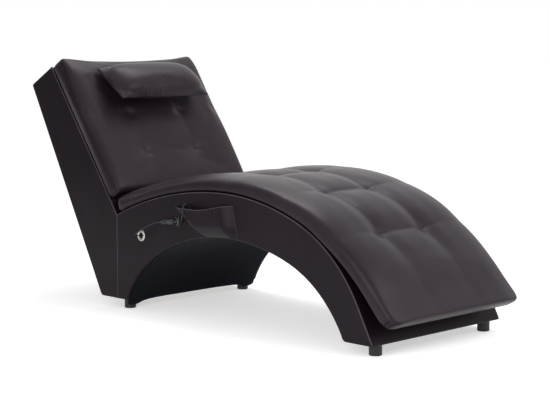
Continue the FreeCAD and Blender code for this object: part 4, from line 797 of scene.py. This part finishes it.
def holdPad(bm, pad):
    # the underside and the tufts stay where they are
    length = pad["end"] - pad["start"]
    held = {}
    for vert in bm.verts:
        along = (vert.co.x + 0.5) * length + pad["start"]
        rowAway = min(abs(along - row) for row in pad["rows"])
        columnAway = abs(abs(vert.co.y) * 2 * halfWidth - pad["column"])
        tufted = vert.co.z > pad["topSkin"] and math.hypot(rowAway, columnAway) < pad["tuftHold"]
        if vert.co.z < pad["underHeld"] or tufted:
            held[vert.index] = 1.0
    return held


def makePad(name, pad, place, fill, *nodes):
    bm = blockGrid(pad["cells"])
    bm.verts.index_update()
    held = holdPad(bm, pad)
    calm = {v.index: pad["tailCalm"] * smoothStep(pad["calmFrom"], pad["calmFull"], v.co.x) for v in bm.verts}
    share = {index: 1 - still for index, still in calm.items()}     # the thin foot end keeps its cut
    placeVerts(bm, padPlacer(pad, place))
    faceOut(bm)
    swellBag(bm, {"held": held, "drawn": {}, "share": share, "shrink": 0.0, "pressure": pad["pressure"],
                  "bending": pad["bending"], "cap": pad["cap"]})
    piece = newPiece(name, bm, paintedLightPadLeather, "chair")
    piece.data.materials.append(leather)     # faces that look down take the darker panel leather: painted shade on the undersides and on the seat's foot end
    for face in piece.data.polygons:
        face.material_index = int(face.normal.z < pad["paintedShadeSlope"])
    smooth = piece.modifiers.new("smooth", "SUBSURF")
    smooth.levels = smooth.render_levels = 1
    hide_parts(*nodes)
    print(name, "made")
    return piece


seatCushion = makePad("seatCushion", seatPad, seatPlace, 0.75, "seat_cushion")
backCushion = makePad("backCushion", backPad, backPlace, 0.75, "back_cushion")
print("cushions made")


# head pillow
pillow = {
    "length": 0.360, "bow": 0.006, "height": 0.144, "wall": 0.004, "frontSwell": 0.046, "rearSwell": 0.018, "shift": 0.007,
    "middle": 0.1385, "rest": 0.080, "tip": 0.049, "cells": (84, 38, 1), "seamDraw": 0.04, "seamRun": 0.36, "seamEdge": 0.499,
    "rearHeld": 0.44, "pressure": 2.0, "bending": 0.4, "cap": 0.003, "domeEnds": 4, "domeSides": 2.4, "rollEnds": 5.5, "domeShare": 0.4,
    "pucker": 0.0016, "puckerMm": 19.0, "puckerSpot": 0.045, "puckerReach": 0.07, "waver": 1.2, "foldFrom": 0.28, "foldFull": 0.46,
}
pillowSlant = math.degrees(math.atan(pillow["tip"] / pillow["height"]))


def shapePillow(co):
    # two sewn sheets, already filled: flat ears at the corners, full between them, puckered along the lower seam
    dome = math.sqrt(max(0.0, 1 - abs(2 * co.x) ** pillow["domeEnds"] - abs(2 * co.y) ** pillow["domeSides"]))
    roll = math.sqrt(max(0.0, 1 - (2 * co.y) ** 2)) * (1 - abs(2 * co.x) ** pillow["rollEnds"])
    lens = pillow["domeShare"] * dome + (1 - pillow["domeShare"]) * roll
    swell = pillow["frontSwell"] if co.z > 0 else -pillow["rearSwell"]
    length = pillow["length"] + pillow["bow"] * (1 - (2 * co.y) ** 2)
    x = co.x * length
    phase = x * 1000 / pillow["puckerMm"] + pillow["waver"] * noise.noise(Vector((x * 40, 0, 5)))
    reach = math.exp(-((x - pillow["puckerSpot"]) / pillow["puckerReach"]) ** 2)
    reach *= smoothStep(pillow["foldFrom"], pillow["foldFull"], co.y) * min(1.0, 3 * lens)
    fold = pillow["pucker"] * reach * math.sin(2 * math.pi * phase)
    return Vector((x, co.y * pillow["height"], co.z * pillow["wall"] + swell * lens + (fold if co.z > 0 else 0.0)))


def placePillow(co):
    # leans on the back cushion, its lower edge further out
    drop = 0.5 + co.y / pillow["height"]
    origin, tilt = backPlace(pillow["middle"] + co.y)
    seamSpot = origin + lean(tilt) * (pillow["rest"] + pillow["tip"] * drop)
    return seamSpot + lean(tilt - pillowSlant) * co.z + Vector((0, pillow["shift"] - co.x, 0))


bm = blockGrid(pillow["cells"])
bm.verts.index_update()
seam = {v.index: 1.0 for v in bm.verts if v.co.y > pillow["seamEdge"] and abs(v.co.x) < pillow["seamRun"]}
rear = {v.index: 1.0 for v in bm.verts if v.co.z < 0 and max(abs(v.co.x), abs(v.co.y)) < pillow["rearHeld"]}
placeVerts(bm, shapePillow)
faceOut(bm)
swellBag(bm, {"held": rear, "drawn": seam, "share": {}, "shrink": pillow["seamDraw"], "pressure": pillow["pressure"],
              "bending": pillow["bending"], "cap": pillow["cap"]})
placeVerts(bm, placePillow)
headPillow = newPiece("headPillow", bm, paintedLightPadLeather, "pillow")
pillowSmooth = headPillow.modifiers.new("smooth", "SUBSURF")
pillowSmooth.levels = pillowSmooth.render_levels = 1
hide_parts("head_pillow")
print("pillow made")


# pocket on the right panel
pocket = {
    "lowLeft": (0.368, 0.0), "lowRight": (0.528, 0.0), "highLeft": (0.270, 0.330), "highRight": (0.508, 0.352), "archMargin": 0.005,
    "depth": 0.024, "sideRun": 0.040, "floorRun": 0.38, "ramp": 1.6, "lipSag": 0.009, "gather": 0.0011, "gatherMm": 17.0, "wall": 0.0014,
    "waver": 1.4, "gatherFrom": 0.68, "gatherFull": 0.94, "sagFrom": 0.5, "floorGap": 0.0006, "seamAt": 0.4995,
    "columns": 150, "rows": 56, "hem": 0.0012, "hemKnots": 60, "seam": 0.0008, "seamKnots": 20, "flat": (0.255, 0.105),
}


def archHeight(x):
    centre, radius = (archFrontCentre, archLine["frontRadius"]) if x > archPeak.x else (archRearCentre, archLine["rearRadius"])
    return centre.z + math.sqrt(radius ** 2 - (x - centre.x) ** 2)


def pocketCorner(name):
    reach, height = pocket[name]
    x = seamX + reach
    return Vector((x, panelY, height or archHeight(x) + pocket["archMargin"]))


def placePocket(co):
    # a slack patch: flat at the seams, full over the handset, drawn into small folds by the elastic in its lip
    level, share = co.y + 0.5, co.x + 0.5
    left = pocketCorner("lowLeft").lerp(pocketCorner("highLeft"), level)
    right = pocketCorner("lowRight").lerp(pocketCorner("highRight"), level)
    point = left.lerp(right, share)
    sideAway = min(share, 1 - share) * (right - left).length
    fromSide = 1 - min(sideAway / pocket["sideRun"], 1.0)
    fromFloor = 1 - min(level / pocket["floorRun"], 1.0)
    full = 1 - min(math.hypot(fromSide, fromFloor), 1.0) ** pocket["ramp"]
    phase = (point.x - seamX) * 1000 / pocket["gatherMm"] + pocket["waver"] * noise.noise(Vector((point.x * 40, 0, 1)))
    strength = 0.5 + noise.noise(Vector((point.x * 45, 3, 1)))
    nearLip = smoothStep(pocket["gatherFrom"], pocket["gatherFull"], level)
    fold = pocket["gather"] * strength * math.sin(2 * math.pi * phase) * nearLip * (1 - fromSide)
    sag = pocket["lipSag"] * smoothStep(pocket["sagFrom"], 1.0, level) * math.sin(math.pi * share) ** 2
    return point + Vector((0, -max(pocket["depth"] * full + fold, pocket["floorGap"]), -sag))


def pocketTrim(name, spots, radius):
    return trimTube(name, [placePocket(Vector((x, y, 0))) for x, y in spots], radius)


bm = bmesh.new()
bmesh.ops.create_grid(bm, x_segments=pocket["columns"], y_segments=pocket["rows"], size=0.5)
placeVerts(bm, placePocket)
sidePocket = newPiece("sidePocket", bm, leather, "chair")
pocketWall = sidePocket.modifiers.new("thickness", "SOLIDIFY")
pocketWall.thickness = pocket["wall"]
pocketWall.offset = 0.0
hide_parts("side_pocket")
pocketHem = pocketTrim("pocketHem", [(share - 0.5, 0.5) for share in shares(pocket["hemKnots"])], pocket["hem"])
levels = [share - 0.5 for share in shares(pocket["seamKnots"])]
pocketSeamRight = pocketTrim("pocketSeamRight", [(pocket["seamAt"], level) for level in levels], pocket["seam"])
pocketSeamLeft = pocketTrim("pocketSeamLeft", [(-pocket["seamAt"], level) for level in levels], pocket["seam"])
print("pocket made")


# floor, backdrop and light
studio = {"floor": "#f2f2f2", "floorSize": 30.0, "ambient": 0.55, "floorGlow": 0.52, "key": 39.0, "top": 23.0, "fill": 13.0}


def stageCard(name, size, place, material):
    bm = bmesh.new()
    bmesh.ops.create_grid(bm, x_segments=1, y_segments=1, size=size)
    placeVerts(bm, place)
    mesh = bpy.data.meshes.new(name)
    bm.to_mesh(mesh)
    bm.free()
    mesh.materials.append(material)
    piece = bpy.data.objects.new(name, mesh)
    scene.collection.objects.link(piece)
    return piece


def seenRay(tree):
    # one for rays that show the backdrop itself, nought for those that light the object
    path = addNode(tree, "ShaderNodeLightPath").outputs
    seen = addNode(tree, "ShaderNodeMath", {"operation": "MAXIMUM"}, {0: path["Is Camera Ray"], 1: path["Is Glossy Ray"]})
    return addNode(tree, "ShaderNodeMath", {"operation": "MAXIMUM"}, {0: seen.outputs[0], 1: path["Is Transmission Ray"]}).outputs[0]


# white seamless paper, lifted to white where the backdrop is looked at
floorPaint, floorTree, floorShader = newMaterial("seamlessPaper", {
    "Base Color": linear(studio["floor"]), "Roughness": 0.95, "Specular IOR Level": 0.05, "Emission Color": (1.0, 1.0, 1.0, 1.0)})[:3]
glow = addNode(floorTree, "ShaderNodeMath", {"operation": "MULTIPLY", 1: studio["floorGlow"]}, {0: seenRay(floorTree)})
floorTree.links.new(glow.outputs[0], floorShader.inputs["Emission Strength"])
stageCard("floor", studio["floorSize"], lambda co: co, floorPaint)

world = bpy.data.worlds.new("studio")
scene.world = world
world.use_nodes = True
worldTree = world.node_tree
strength = addNode(worldTree, "ShaderNodeMapRange", {"To Min": studio["ambient"], "To Max": 1.0}, {"Value": seenRay(worldTree)})
sky = worldTree.nodes["Background"]
sky.inputs["Color"].default_value = (1.0, 1.0, 1.0, 1.0)
worldTree.links.new(strength.outputs["Result"], sky.inputs["Strength"])


def softBox(name, place, target, size, power):
    lamp = bpy.data.lights.new(name, "AREA")
    lamp.shape = "RECTANGLE"
    lamp.size, lamp.size_y = size
    lamp.energy = power
    piece = bpy.data.objects.new(name, lamp)
    piece.location = place
    piece.rotation_euler = (Vector(place) - Vector(target)).to_track_quat("Z", "Y").to_euler()
    scene.collection.objects.link(piece)


softBox("frontBox", (2.8, 0.9, 2.5), (0.0, 0.0, 0.3), (2.2, 1.8), studio["key"])
softBox("topBox", (-0.6, 0.6, 2.6), (0.1, 0.0, 0.4), (1.4, 1.0), studio["top"])
softBox("sideBox", (0.9, -1.9, 0.9), (0.3, 0.0, 0.3), (1.0, 1.0), studio["fill"])

# black card that keeps the side panels dark
flagCard = {"low": Vector((-2.6, -1.3, 0.15)), "high": Vector((-0.95, -1.3, 1.9))}
flagSize = flagCard["high"] - flagCard["low"]
blackCard = newMaterial("blackCard", {"Base Color": linear("#0a0a0a"), "Roughness": 1.0, "Specular IOR Level": 0.0})[0]


def placeFlag(co):
    return flagCard["low"] + Vector((flagSize.x * (co.x + 0.5), 0, flagSize.z * (co.y + 0.5)))


flagPiece = stageCard("flagCard", 0.5, placeFlag, blackCard)
flagPiece.visible_camera = False
scene.view_settings.view_transform = "Standard"
print("light set")
